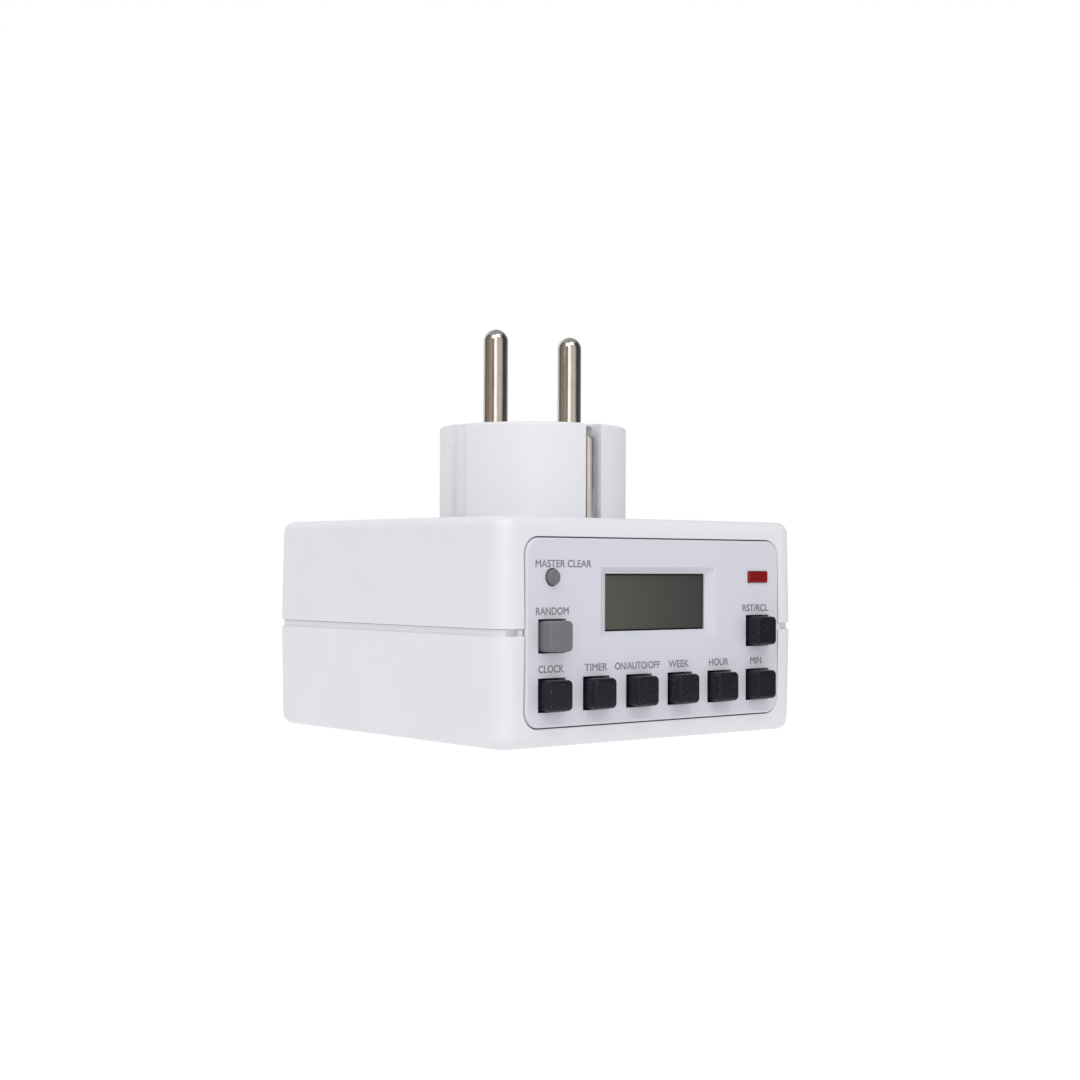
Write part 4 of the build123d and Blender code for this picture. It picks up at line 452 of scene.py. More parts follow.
# %% [markdown]
# ## The rubber keys
#
# The keys are silicone rubber, compression-moulded and left matt. The mould leaves fine pits,
# which spread the highlights. Silicone draws dust, so a key is never a clean black: it has pale
# specks all over.
#
# Dust is scattered, not spread. A Voronoi texture puts one point in each cell of a given size,
# and only the cells whose random value is high enough get a speck round their point.

# %% Silicone rubber
RUBBER_IOR = 1.41
RUBBER_PIT = 0.35
RUBBER_PIT_DEPTH = 0.012
RUBBER_ROUGHNESS = (0.28, 0.42)
RUBBER_SPECULAR = 0.25
DUST_SPACING = 0.5
DUST_RADIUS = 0.09
DUST_SHARE = 0.40
SPECK_CORE = 0.6


def specks(tree, place, spacing, radius, share):
    """Scattered round specks: 1 on a speck and 0 off it, with soft edges."""
    cells = add(tree, "ShaderNodeTexVoronoi", {"Vector": place, "Scale": per_mm(spacing)})
    edge = radius / spacing
    dot = span(tree, cells.outputs["Distance"], 1.0, 0.0, ends=(SPECK_CORE * edge, edge))
    chance = add(tree, "ShaderNodeSeparateColor", {"Color": cells.outputs["Color"]}).outputs[0]
    picked = calculate(tree, "GREATER_THAN", chance, 1 - share)
    return calculate(tree, "MULTIPLY", dot, picked)


def silicone_rubber(name, body, dust):
    """Matt rubber with fine pits and pale specks of dust."""
    material, tree, place = new_material(name)
    pits = grain(tree, place, RUBBER_PIT, FINE_DETAIL)
    dirt = specks(tree, place, DUST_SPACING, DUST_RADIUS, DUST_SHARE)
    surface(tree, Base_Color=blend_colours(tree, dirt, body, dust), IOR=RUBBER_IOR,
            Specular_IOR_Level=RUBBER_SPECULAR, Roughness=span(tree, pits, *RUBBER_ROUGHNESS),
            Normal=bumps(tree, pits, RUBBER_PIT_DEPTH))
    return material


charcoal_rubber = silicone_rubber("charcoal_silicone_rubber", "#1F1E28", "#6C6C76")
grey_rubber = silicone_rubber("grey_silicone_rubber", "#747479", "#909096")
print("rubber finishes:", charcoal_rubber.name, grey_rubber.name)

# %% [markdown]
# ## Metals
#
# The pins and the earth strips are brass under bright nickel. Nickel is a little warmer than
# chrome, and pins that have been plugged in carry fine scratches along their length. Drawing
# the scratches with a noise stretched along Z gives the streaks that a real pin has, and makes
# the edges of the bright stripe ragged.

# %% Plated, rolled and drawn metal
PATCH_SIZE = 3.0
PATCH_DETAIL = 4.0
ALONG_Z = (1.0, 1.0, 0.12)


def plated_metal(name, colours, roughness, scratch, depth, stretch=None):
    """Metal with patches in its tone, and scratches that run one way if they are stretched."""
    material, tree, place = new_material(name)
    patches = span(tree, grain(tree, place, PATCH_SIZE, PATCH_DETAIL), 0.0, 1.0)
    scratches = grain(tree, place, scratch, FINE_DETAIL, stretch)
    surface(tree, Base_Color=blend_colours(tree, patches, *colours), Metallic=1.0,
            Roughness=span(tree, scratches, *roughness), Normal=bumps(tree, scratches, depth))
    return material


# A warm grey mirror, which upright scratches break into streaks.
bright_nickel = plated_metal("nickel_plated_brass", ("#CFCAC4", "#D9D5CF"), (0.10, 0.22),
                             scratch=0.35, depth=0.003, stretch=ALONG_Z)
# A duller plate, which shows as one soft pale stripe.
strip_nickel = plated_metal("matt_nickel_strip", ("#DAD4D2", "#E6E0DE"), (0.38, 0.50),
                            scratch=0.35, depth=0.003, stretch=ALONG_Z)
# A satin yellow with the fine lines that the rolls leave.
rolled_brass = plated_metal("rolled_brass", ("#C9A85C", "#D8BA70"), (0.25, 0.38),
                            scratch=0.4, depth=0.003, stretch=ALONG_Z)
# A cool grey with the same satin gloss in every direction.
zinc_steel = plated_metal("zinc_plated_steel", ("#A9ABAF", "#BDBFC3"), (0.25, 0.42),
                          scratch=0.5, depth=0.005)
# Bare grey metal with a dull gloss.
soft_iron = plated_metal("bright_soft_iron", ("#8C8B87", "#A09F9B"), (0.35, 0.50),
                         scratch=0.5, depth=0.008)
# Redder and glossier than bare copper, because of its enamel.
copper_wire = plated_metal("enamelled_copper", ("#B0653A", "#C37A4B"), (0.20, 0.30),
                           scratch=0.4, depth=0.003)
print("finishes with the metals:", len(bpy.data.materials))

# %% [markdown]
# ## Display, lamp and ink
#
# A reflective liquid crystal display is a dark greenish grey when it is off, because its two
# polarising films let little light back out. The outer film is matt against glare. The lamp
# is a clear red epoxy block, and the words are screen-printed in a thin grey ink.

# %% Glass, lens and ink
# Black and smooth, so it mirrors the cards.
lcd_glass = plain_finish("display_glass", ("#17181A", "#1C1D1F"), (0.08, 0.12),
                         broad=8.0, fine=0.5, depth=0.001, IOR=1.52)
# A deep even red under a clean gloss.
red_epoxy = plain_finish("clear_red_epoxy", ("#7E0A0E", "#8C0F13"), (0.12, 0.20),
                         broad=2.0, fine=0.5, depth=0.004, IOR=1.55)
# A flat grey with hardly any gloss.
grey_ink = plain_finish("grey_screen_ink", ("#7E7E86", "#86868E"), (0.50, 0.65),
                        broad=1.5, fine=0.3, depth=0.004, IOR=1.50)
print("finishes with the display's:", len(bpy.data.materials))

# %% [markdown]
# ## Finishes inside the housing
#
# The boards and the relay are hidden until the shells come off, and each piece still has the
# finish that tells what it is. Solder mask is a glossy green lacquer, epoxy mouldings are matt
# black, and natural nylon is a warm white. Printed carbon is the most matt of all, the relay's
# cover is a glossy blue, and the varistor's dipped lacquer dries uneven. Leads and ribbon are
# PVC with a satin gloss. All follow one recipe, so a table holds their facts for one loop.

# %% Finishes of the pieces inside
# Each row: the rigid pieces' name for the finish, then the material's name, its two colours, its
# roughness, its broad pattern, fine pattern and depth in mm, and its IOR.
INNER_FINISHES = {
    "board_laminate": ("green_solder_mask", ("#2B6E3F", "#337A48"), (0.25, 0.40), 6.0, 0.8, 0.010, 1.50),
    "black_moulding": ("black_epoxy_moulding", ("#1B1B1D", "#232325"), (0.50, 0.70), 4.0, 0.4, 0.010, 1.55),
    "pale_moulding": ("natural_nylon", ("#DEDACB", "#E6E2D6"), (0.40, 0.55), 6.0, 0.5, 0.008, 1.53),
    "silicone": ("layered_silicone", ("#5C5C60", "#77777B"), (0.60, 0.80), 0.4, 0.3, 0.010, 1.41),
    "carbon": ("printed_carbon", ("#1D1D1E", "#29292A"), (0.70, 0.85), 1.0, 0.3, 0.010, 1.50),
    "relay_case": ("blue_relay_case", ("#23459A", "#2A4FA8"), (0.20, 0.30), 6.0, 0.5, 0.004, 1.57),
    "capacitor_box": ("yellow_capacitor_box", ("#D9B33C", "#E2BE4C"), (0.35, 0.50), 5.0, 0.5, 0.008, 1.58),
    "capacitor_can": ("shrunk_sleeve", ("#22263C", "#2A2F49"), (0.25, 0.35), 5.0, 0.6, 0.010, 1.52),
    "varistor_lacquer": ("dipped_blue_lacquer", ("#2F62A8", "#3A70B8"), (0.20, 0.35), 3.0, 0.8, 0.030, 1.50),
    "resistor_body": ("resistor_lacquer", ("#B9A37C", "#C8B48E"), (0.30, 0.45), 3.0, 0.6, 0.010, 1.50),
    "ribbon_pvc": ("grey_pvc", ("#A9A9AD", "#B2B2B6"), (0.40, 0.55), 4.0, 0.5, 0.006, 1.53),
    "brown_pvc": ("brown_pvc", ("#5C3420", "#683C26"), (0.35, 0.50), 4.0, 0.5, 0.006, 1.53),
    "blue_pvc": ("blue_pvc", ("#2E5FB4", "#3869C0"), (0.35, 0.50), 4.0, 0.5, 0.006, 1.53),
}

inner_finishes = {}
for slot_name, (material_name, *facts, ior) in INNER_FINISHES.items():
    inner_finishes[slot_name] = plain_finish(material_name, *facts, IOR=ior)
print("inner finishes:", len(inner_finishes))

# %% [markdown]
# ## Dress the rigid pieces
#
# Each rigid piece came with the name of a finish. One table turns those names into the
# materials above. A few pieces are named by themselves: the panel has its own shade of white,
# and the bent earth strips are duller than the turned pins.

# %% Give every rigid piece its finish
FINISHES = {
    "white_abs": housing_abs,
    "dark_rubber": charcoal_rubber,
    "grey_rubber": grey_rubber,
    "nickel_brass": bright_nickel,
    "strip_brass": rolled_brass,
    "screw_steel": zinc_steel,
    "relay_iron": soft_iron,
    "copper_wire": copper_wire,
    "lcd_glass": lcd_glass,
    "red_lens": red_epoxy,
    **inner_finishes,
}
OWN_FINISHES = {
    "control_panel": panel_abs,
    "front_earth_strip": strip_nickel,
    "rear_earth_strip": strip_nickel,
}
slot_of = {part["node"]: part["material_slot"] for part in frame["record"]["subparts"]}
for node_name, piece in frame["nodes"].items():
    finish = OWN_FINISHES.get(node_name, FINISHES[slot_of[node_name]])
    for material_slot in piece.material_slots:
        material_slot.material = finish
print("dressed:", len(slot_of))

# %% [markdown]
# ## The display's film
#
# What is seen of a liquid crystal display is its front polarising film. It is cut a little
# smaller than the glass, so the black glass shows as a thin border in the window. The film is
# greyish green, and a painted reflection lies on it: lighter and greener at its left end,
# darker at its right end.
#
# The film is one thin plate, made in mesh code, that lies on the glass inside the window. The
# painted reflection follows X in Object coordinates, so it is fixed to the film and not to the camera.

# %% Lay the film on the glass
FILM_WIDTH = 24.3
FILM_HEIGHT = 9.8
FILM_THICKNESS = 0.04
# The film's colour at its two ends, with a painted reflection: lighter at the left, darker at the right.
FILM_LEFT_PAINTED_LIGHT = "#55564E"
FILM_RIGHT_PAINTED_SHADE = "#3F3F3F"
FILM_IOR = 1.48
FILM_HAZE = 0.3
FILM_RELIEF = 0.002
FILM_ROUGHNESS = (0.30, 0.40)
BEVEL_SHARE = 6
BEVEL_STEPS = 2
ROUND_PROFILE = 0.5

glass_low, glass_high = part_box("lcd_cell")
film_middle = (glass_low + glass_high) / 2


def film_material():
    """Matt film with a painted reflection: lighter and greener at its left end, darker at its right end."""
    material, tree, place = new_material("matt_film_painted_reflection")
    x = add(tree, "ShaderNodeSeparateXYZ", {"Vector": place}).outputs["X"]
    left = film_middle.x - FILM_WIDTH / 2 * MM
    # Painted reflection: the film's colour runs from lighter at the left to darker at the right.
    painted_reflection_ramp = span(tree, x, 0.0, 1.0, (left, left + FILM_WIDTH * MM))
    haze = grain(tree, place, FILM_HAZE, FINE_DETAIL)
    surface(tree, Base_Color=blend_colours(tree, painted_reflection_ramp, FILM_LEFT_PAINTED_LIGHT, FILM_RIGHT_PAINTED_SHADE), IOR=FILM_IOR,
            Roughness=span(tree, haze, *FILM_ROUGHNESS), Normal=bumps(tree, haze, FILM_RELIEF))
    return material


def plate_shape(low, high):
    """A closed box between two corners, its edges rounded by a share of its thickness."""
    shape = bmesh.new()
    bmesh.ops.create_cube(shape, size=1.0)
    size = high - low
    place = Matrix.Translation((low + high) / 2) @ Matrix.Diagonal((*size, 1))
    bmesh.ops.transform(shape, matrix=place, verts=list(shape.verts))
    bmesh.ops.bevel(shape, geom=list(shape.edges), offset=min(size) / BEVEL_SHARE,
                    segments=BEVEL_STEPS, profile=ROUND_PROFILE, affect="EDGES")
    return shape


def new_piece(name, shape, material):
    """Ends mesh code: one mesh in one finish, as a piece in the scene."""
    mesh = bpy.data.meshes.new(name)
    shape.to_mesh(mesh)
    shape.free()
    mesh.materials.append(material)
    return new_object(name, mesh)


half_film = Vector((FILM_WIDTH / 2, FILM_THICKNESS / 2, FILM_HEIGHT / 2)) * MM
film_place = Vector((film_middle.x, glass_low.y - FILM_THICKNESS / 2 * MM, film_middle.z))
film_shape = plate_shape(film_place - half_film, film_place + half_film)
film_piece = new_piece("display_film", film_shape, film_material())
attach(film_piece, "housing")
print("film in mm:", FILM_WIDTH, "x", FILM_HEIGHT)

# %% [markdown]
# ## The turned pins
#
# A pin is turned from a brass rod, so it is one outline spun round its own axis. Blender's Screw
# modifier could spin it, but rings of points in mesh code close the two ends cleanly. Bright
# metal shows every flat, so the circle gets many more steps than the rigid piece has.
#
# The pin stands where the rigid one does. Its tail is riveted below, its collar bears inside the
# plug's face, and only the shank and the rounded tip are seen.

# %% A lathe in mesh code
LATHE_STEPS = 96
CREASE_ANGLE = math.radians(35)


def axis_of(low, high):
    """The upright axis through the middle of a box, as its foot at height zero."""
    return Vector(((low.x + high.x) / 2, (low.y + high.y) / 2, 0))


def turn_rings(shape, outline, place, steps):
    """Spins radii and heights in mm into rings of points and joins them. Gives the rings back."""
    rings = []
    for radius, height in outline:
        spun = steps if radius else 1
        turns = [math.tau * step / spun for step in range(spun)]
        ring = [(radius * math.cos(turn), radius * math.sin(turn), height) for turn in turns]
        rings.append([shape.verts.new(place + Vector(corner) * MM) for corner in ring])
    for lower, upper in zip(rings, rings[1:]):
        for step in range(steps):
            after = (step + 1) % steps
            around = [(lower, step), (lower, after), (upper, after), (upper, step)]
            corners = [ring[number % len(ring)] for ring, number in around]
            shape.faces.new(dict.fromkeys(corners))
    return rings


def smooth_piece(name, shape, material):
    """A piece with outward faces, and smooth shading between sharp creases."""
    bmesh.ops.recalc_face_normals(shape, faces=list(shape.faces))
    for face in shape.faces:
        face.smooth = True
    piece = new_piece(name, shape, material)
    piece.data.set_sharp_from_angle(angle=CREASE_ANGLE)
    return piece


print("flats round a turned piece:", LATHE_STEPS)

# %% Turn the two pins
# Each pair is a radius and a height. The pins end TIP_ROOM below the rigid ones' tips, so that
# rounding never makes the switch taller.
PIN_LENGTH = 19.0
PIN_RADIUS = 2.4
PIN_ROOT = (2.2, 0.1)
PIN_FACE_THICKNESS = 2.4
PIN_COLLAR = (3.6, 1.5)
PIN_TAIL_RADIUS = 2.0
RIVET_NECK = (1.4, 0.84)
RIVET_HEAD = (2.2, 0.5)
RIVET_EDGE = 0.12
DOME_STEPS = 20
TIP_ROOM = 0.001


def pin_outline(foot, tip):
    """The pin's radii and heights, from the rivet at its foot to its tip."""
    face = tip - PIN_LENGTH
    inner = face - PIN_FACE_THICKNESS
    collar_foot = inner - PIN_COLLAR[1]
    head_top = foot + RIVET_HEAD[1]
    tail_foot = head_top + RIVET_NECK[1]
    outline = [(0, foot), (RIVET_HEAD[0] - RIVET_EDGE, foot), (RIVET_HEAD[0], foot + RIVET_EDGE)]
    outline += [(RIVET_HEAD[0], head_top), (RIVET_NECK[0], head_top), (RIVET_NECK[0], tail_foot)]
    outline += [(PIN_TAIL_RADIUS, tail_foot), (PIN_TAIL_RADIUS, collar_foot)]
    outline += [(PIN_COLLAR[0], collar_foot), (PIN_COLLAR[0], inner), (PIN_ROOT[0], inner)]
    outline += [(PIN_ROOT[0], face + PIN_ROOT[1]), (PIN_RADIUS, face + PIN_ROOT[1])]
    for step in range(DOME_STEPS):
        turn = math.pi / 2 * step / DOME_STEPS
        outline.append((PIN_RADIUS * math.cos(turn), tip - PIN_RADIUS * (1 - math.sin(turn))))
    return outline + [(0, tip)]


def turn_pin(node_name):
    """Replaces a rigid pin with one that is turned in far finer steps."""
    low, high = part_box(node_name)
    outline = pin_outline(low.z / MM, high.z / MM - TIP_ROOM)
    shape = bmesh.new()
    turn_rings(shape, outline, axis_of(low, high), LATHE_STEPS)
    pin = smooth_piece("turned_" + node_name, shape, bright_nickel)
    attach(pin, "housing")
    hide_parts(node_name)
    print(pin.name, "faces:", len(pin.data.polygons))


turn_pin("line_pin")
turn_pin("neutral_pin")

# %% [markdown]
# ## Screws
#
# Twelve screws hold the switch together. They are steel screws for plastic: a pan head with a
# cross recess, a thin core and a coarse thread. Each head ended at its own angle when it was
# driven in.
#
# The thread is a spiral and the screws repeat, which is what Geometry Nodes are for. One screw's
# head and core are turned in mesh code. The tree winds the thread, joins it on, and puts the
# screw on every point, turned by a random angle with a fixed seed. The points and the way that
# each screw faces come from the solids in the rigid piece.

# %% Geometry Nodes helpers
SPIRAL_STEPS = 24
MERGE_DISTANCE = MM / 1000


def new_tree(name, **kinds):
    """A geometry tree with named inputs. Each is given with the kind of its socket."""
    tree = bpy.data.node_groups.new(name, "GeometryNodeTree")
    tree.interface.new_socket("Geometry", in_out="INPUT", socket_type="NodeSocketGeometry")
    for label, kind in kinds.items():
        tree.interface.new_socket(label.replace("_", " "), in_out="INPUT",
                                  socket_type="NodeSocket" + kind)
    tree.interface.new_socket("Geometry", in_out="OUTPUT", socket_type="NodeSocketGeometry")
    return tree, add(tree, "NodeGroupInput").outputs


def wind(tree, radius, height, pitch, wire_radius, sides):
    """Nodes that sweep a small circle along an upright spiral."""
    turns = calculate(tree, "DIVIDE", height, pitch)
    spiral = add(tree, "GeometryNodeCurveSpiral", {
        "Resolution": SPIRAL_STEPS, "Rotations": turns, "Height": height, "Start Radius": radius,
        "End Radius": radius})
    upright = add(tree, "GeometryNodeSetCurveNormal", {"Curve": spiral.outputs[0]}, mode="Z_UP")
    circle = {"Resolution": sides, "Radius": wire_radius}
    section = add(tree, "GeometryNodeCurvePrimitiveCircle", circle)
    sweep = {"Curve": upright.outputs[0], "Profile Curve": section.outputs[0], "Fill Caps": True}
    return add(tree, "GeometryNodeCurveToMesh", sweep).outputs[0]


def join(tree, first, second):
    """Joins two geometries into one."""
    whole = add(tree, "GeometryNodeJoinGeometry", {"Geometry": first})
    tree.links.new(second, whole.inputs[0])
    return whole.outputs[0]


def end_tree(tree, geometry, finish):
    """The last nodes of every tree: real geometry in one finish."""
    real = add(tree, "GeometryNodeRealizeInstances", {"Geometry": geometry}).outputs[0]
    finished = add(tree, "GeometryNodeSetMaterial", {"Geometry": real, "Material": finish})
    add(tree, "NodeGroupOutput", {"Geometry": finished.outputs[0]})


def evaluated_mesh(holder):
    """What an object becomes when it is evaluated, as a plain mesh. The object itself goes."""
    bpy.context.view_layer.update()
    graph = bpy.context.evaluated_depsgraph_get()
    mesh = bpy.data.meshes.new_from_object(holder.evaluated_get(graph))
    bpy.data.objects.remove(holder)
    return mesh


def grow(name, tree, start_mesh, **values):
    """Runs a tree on a mesh and keeps what it makes as one plain piece."""
    maker = new_object(name + "_maker", start_mesh)
    modifier = maker.modifiers.new("tree", "NODES")
    modifier.node_group = tree
    inputs = [item for item in tree.interface.items_tree if item.in_out == "INPUT"]
    sockets = {item.name: item.identifier for item in inputs}
    for label, value in values.items():
        modifier[sockets[label.replace("_", " ")]] = value
    mesh = evaluated_mesh(maker)
    mesh.name = name
    mesh.set_sharp_from_angle(angle=CREASE_ANGLE)
    print(name, "faces:", len(mesh.polygons))
    return new_object(name, mesh)


def solids_in(node_name):
    """The lowest and highest corner of each separate solid in a rigid piece."""
    shape = bmesh.new()
    shape.from_mesh(frame["nodes"][node_name].data)
    bmesh.ops.remove_doubles(shape, verts=list(shape.verts), dist=MERGE_DISTANCE)
    boxes = []
    waiting = set(shape.verts)
    while waiting:
        front = [waiting.pop()]
        solid = list(front)
        while front:
            corner = front.pop()
            near = {edge.other_vert(corner) for edge in corner.link_edges} & waiting
            waiting -= near
            front += near
            solid += near
        axes = list(zip(*(corner.co for corner in solid)))
        boxes.append((Vector([min(axis) for axis in axes]), Vector([max(axis) for axis in axes])))
    shape.free()
    return sorted(boxes, key=lambda box: tuple(box[0]))


print("screws in the housing:", len(solids_in("housing_screws")))

# %% The tree that makes screws
# The thread's lower end is THREAD_DROP times its length below the head.
THREAD_SIDES = 4
THREAD_DROP = 1.08


def screw_tree():
    """Winds a thread on a screw and puts the screw on every point."""
    tree, given = new_tree("cross_head_screws", Screw="Object", Core_Radius="Float",
                           Thread_Depth="Float", Pitch="Float", Threaded_Length="Float",
                           Seed="Int", Finish="Material")
    thread = wind(tree, given["Core Radius"], given["Threaded Length"], given["Pitch"],
                  given["Thread Depth"], THREAD_SIDES)
    drop = calculate(tree, "MULTIPLY", given["Threaded Length"], -THREAD_DROP)
    shift = add(tree, "ShaderNodeCombineXYZ", {"Z": drop}).outputs[0]
    lowered = add(tree, "GeometryNodeTransform", {"Geometry": thread, "Translation": shift})
    body = add(tree, "GeometryNodeObjectInfo", {"Object": given["Screw"]}).outputs["Geometry"]
    whole = join(tree, body, lowered.outputs[0])
    facing = add(tree, "GeometryNodeInputNamedAttribute", {"Name": "facing"},
                 data_type="FLOAT_VECTOR").outputs[0]
    aligned = add(tree, "FunctionNodeAlignRotationToVector", {"Vector": facing}, axis="Z")
    angle = add(tree, "FunctionNodeRandomValue", {2: 0.0, 3: math.tau, "Seed": given["Seed"]},
                data_type="FLOAT").outputs[1]
    spin = add(tree, "FunctionNodeAxisAngleToRotation", {"Axis": (0, 0, 1), "Angle": angle})
    both = {"Rotation": aligned.outputs[0], "Rotate By": spin.outputs[0]}
    rotation = add(tree, "FunctionNodeRotateRotation", both, rotation_space="LOCAL")
    placed = add(tree, "GeometryNodeInstanceOnPoints", {
        "Points": given["Geometry"], "Instance": whole, "Rotation": rotation.outputs[0]})
    end_tree(tree, placed.outputs[0], given["Finish"])
    return tree


screws_tree = screw_tree()
print("nodes in the screws' tree:", len(screws_tree.nodes))

# %% One screw's head and core
# HEAD_EDGE and CROSS_DEPTH are shares of the head's height, and the cross's widths are shares of
# its radius. The point's sizes are shares of the core's radius.
HEAD_STEPS = 48
HEAD_EDGE = 0.35
HEAD_EDGE_STEPS = 5
CROSS_HALF_WIDTH = 0.15
CROSS_REACH = 0.60
CROSS_DEPTH = 0.45
CROSS_TAPER = 0.7
POINT_RADIUS = 0.35
POINT_ROUNDING = 0.15
POINT_LENGTH = 1.4


def closed_pairs(ring):
    """Each point of a closed ring, with the point before it."""
    return list(zip(ring[-1:] + ring[:-1], ring))


def cut_cross(shape, rim, head_radius, head_height):
    """Closes the head's top inside its rim, with a cross recess that narrows downwards."""
    half, reach = CROSS_HALF_WIDTH * head_radius, CROSS_REACH * head_radius
    arm = [(half, half), (reach, half), (reach, -half), (half, -half), (half, -reach),
           (-half, -reach)]
    cross = arm + [(-x, -y) for x, y in arm]
    bottom = head_height - CROSS_DEPTH * head_height
    mouth = [shape.verts.new(Vector((x, y, head_height)) * MM) for x, y in cross]
    narrowed = [(CROSS_TAPER * x, CROSS_TAPER * y) for x, y in cross]
    base = [shape.verts.new(Vector((x, y, bottom)) * MM) for x, y in narrowed]
    mouth_edges = [shape.edges.new(pair) for pair in closed_pairs(mouth)]
    rim_edges = [shape.edges.get(pair) for pair in closed_pairs(rim)]
    bmesh.ops.triangle_fill(shape, edges=mouth_edges + rim_edges, use_beauty=True)
    for (before, corner), (below_before, below) in zip(closed_pairs(mouth), closed_pairs(base)):
        shape.faces.new((before, corner, below, below_before))
    shape.faces.new(base)


def screw_body(head_radius, head_height, core_radius, length):
    """The head with its cross recess, and the core with its point. The head stands on zero."""
    edge = HEAD_EDGE * head_height
    outline = [(0, -length), (POINT_RADIUS * core_radius, -length + POINT_ROUNDING * core_radius)]
    outline += [(core_radius, -length + POINT_LENGTH * core_radius), (core_radius, 0)]
    outline += [(head_radius, 0), (head_radius, head_height - edge)]
    for step in range(1, HEAD_EDGE_STEPS + 1):
        turn = math.pi / 2 * step / HEAD_EDGE_STEPS
        radius = head_radius - edge * (1 - math.cos(turn))
        outline.append((radius, head_height - edge * (1 - math.sin(turn))))
    shape = bmesh.new()
    rings = turn_rings(shape, outline, Vector(), HEAD_STEPS)
    cut_cross(shape, rings[-1], head_radius, head_height)
    return smooth_piece("one_screw", shape, zinc_steel)


# %% Drive the screws
THREADED_SHARE = 0.85


def place_screws(node_name, head_height):
    """A mesh with a point under each screw's head, which holds the way that the screw faces."""
    starts, facings = [], []
    for low, high in solids_in(node_name):
        middle = (low + high) / 2
        along = 1 if high.y - low.y > high.z - low.z else 2
        facing = Vector((0, 0, 0))
        facing[along] = 1.0
        middle[along] = high[along] - head_height * MM
        starts.append(middle)
        facings.append(facing)
    points = bpy.data.meshes.new("screw_places")
    points.from_pydata(starts, [], [])
    stored = points.attributes.new("facing", "FLOAT_VECTOR", "POINT")
    for number, facing in enumerate(facings):
        stored.data[number].vector = facing
    return points


def drive_screws(node_name, seed, head_radius, head_height, radius, length, pitch, thread_depth):
    """Replaces a rigid piece's plain screws with threaded ones."""
    points = place_screws(node_name, head_height)
    body = screw_body(head_radius, head_height, radius - thread_depth, length)
    sizes = {"Core_Radius": (radius - thread_depth) * MM, "Thread_Depth": thread_depth * MM,
             "Pitch": pitch * MM, "Threaded_Length": THREADED_SHARE * length * MM}
    piece = grow("cross_head_" + node_name, screws_tree, points,
                 Screw=body, Seed=seed, Finish=zinc_steel, **sizes)
    bpy.data.objects.remove(body)
    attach(piece, "housing")
    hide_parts(node_name)


drive_screws("housing_screws", seed=4, head_radius=2.8, head_height=2.0, radius=1.45, length=15.0,
             pitch=1.1, thread_depth=0.3)
drive_screws("board_screws", seed=7, head_radius=1.9, head_height=1.2, radius=0.95, length=4.0,
             pitch=0.7, thread_depth=0.2)

# %% [markdown]
# ## The relay's coil and armature
#
# The coil is one long enamelled wire in even turns, so it is the same spiral as the screws'
# threads, only finer. Its tree joins the outer layer of turns to a plain tube, which stands for
# the layers that it covers.
#
# The armature is an iron plate with a sprung brass blade. The contact on the blade is domed, so
# it meets near its middle, which leaves room at its edge when the plate swings in.

# %% Wind the coil
COIL_RADIUS = 2.9
COIL_BORE = 2.05
WIRE_RADIUS = 0.1
WIRE_PITCH = 0.205
WIRE_SIDES = 8
ROOM_FOR_ENDS = 0.02
# The tube's face is this many wire radii below the coil's, so that the turns sink into it.
TUBE_DEPTH = 1.5


def winding_tree():
    """Joins a spiral of wire to the tube that it lies on."""
    tree, given = new_tree("coil_winding", Radius="Float", Length="Float", Pitch="Float",
                           Wire_Radius="Float", Foot="Vector", Finish="Material")
    wire = wind(tree, given["Radius"], given["Length"], given["Pitch"], given["Wire Radius"],
                WIRE_SIDES)
    placed = add(tree, "GeometryNodeTransform", {"Geometry": wire, "Translation": given["Foot"]})
    smooth = add(tree, "GeometryNodeSetShadeSmooth", {"Geometry": placed.outputs[0]})
    end_tree(tree, join(tree, given["Geometry"], smooth.outputs[0]), given["Finish"])
    return tree


def wind_coil():
    """Replaces the rigid coil with a wound one."""
    low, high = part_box("relay_coil")
    axis_place = axis_of(low, high)
    bottom, top = low.z / MM, high.z / MM
    tube_radius = COIL_RADIUS - TUBE_DEPTH * WIRE_RADIUS
    outline = [(COIL_BORE, bottom), (tube_radius, bottom), (tube_radius, top), (COIL_BORE, top)]
    shape = bmesh.new()
    turn_rings(shape, outline + outline[:1], axis_place, LATHE_STEPS // 2)
    bmesh.ops.remove_doubles(shape, verts=list(shape.verts), dist=MERGE_DISTANCE)
    tube = smooth_piece("winding_tube", shape, copper_wire)
    foot = axis_place + Vector((0, 0, low.z + (WIRE_RADIUS + ROOM_FOR_ENDS) * MM))
    length = high.z - low.z - 2 * (WIRE_RADIUS + ROOM_FOR_ENDS) * MM
    piece = grow("wound_coil", winding_tree(), tube.data, Radius=(COIL_RADIUS - WIRE_RADIUS) * MM,
                 Length=length, Pitch=WIRE_PITCH * MM, Wire_Radius=WIRE_RADIUS * MM, Foot=foot,
                 Finish=copper_wire)
    bpy.data.objects.remove(tube)
    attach(piece, "housing")
    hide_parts("relay_coil")


wind_coil()

# %% Make the armature
PLATE_LENGTH = 10.8
PLATE_THICKNESS = 1.0
BLADE_START = 4.6
BLADE_HALF_WIDTH = 1.6
BLADE_THICKNESS = 0.25
CONTACT_RADIUS = 1.3
CONTACT_MARGIN = 0.1
CONTACT_FOOT = 0.5
CONTACT_DOME = 0.05
CONTACT_EDGE = 0.12
# The dome's rings, as shares of the contact's radius.
DOME_SHARES = (0.95, 0.75, 0.5, 0.25)

armature_low, armature_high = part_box("relay_armature")
plate_top = armature_low.z + PLATE_THICKNESS * MM


def make_plate():
    """The iron plate, which the coil's core pulls."""
    far_corner = Vector((armature_low.x + PLATE_LENGTH * MM, armature_high.y, plate_top))
    plate = new_piece("armature_plate", plate_shape(armature_low, far_corner), soft_iron)
    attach(plate, "relay_armature")
    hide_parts("relay_armature")
    print("plate faces:", len(plate.data.polygons))


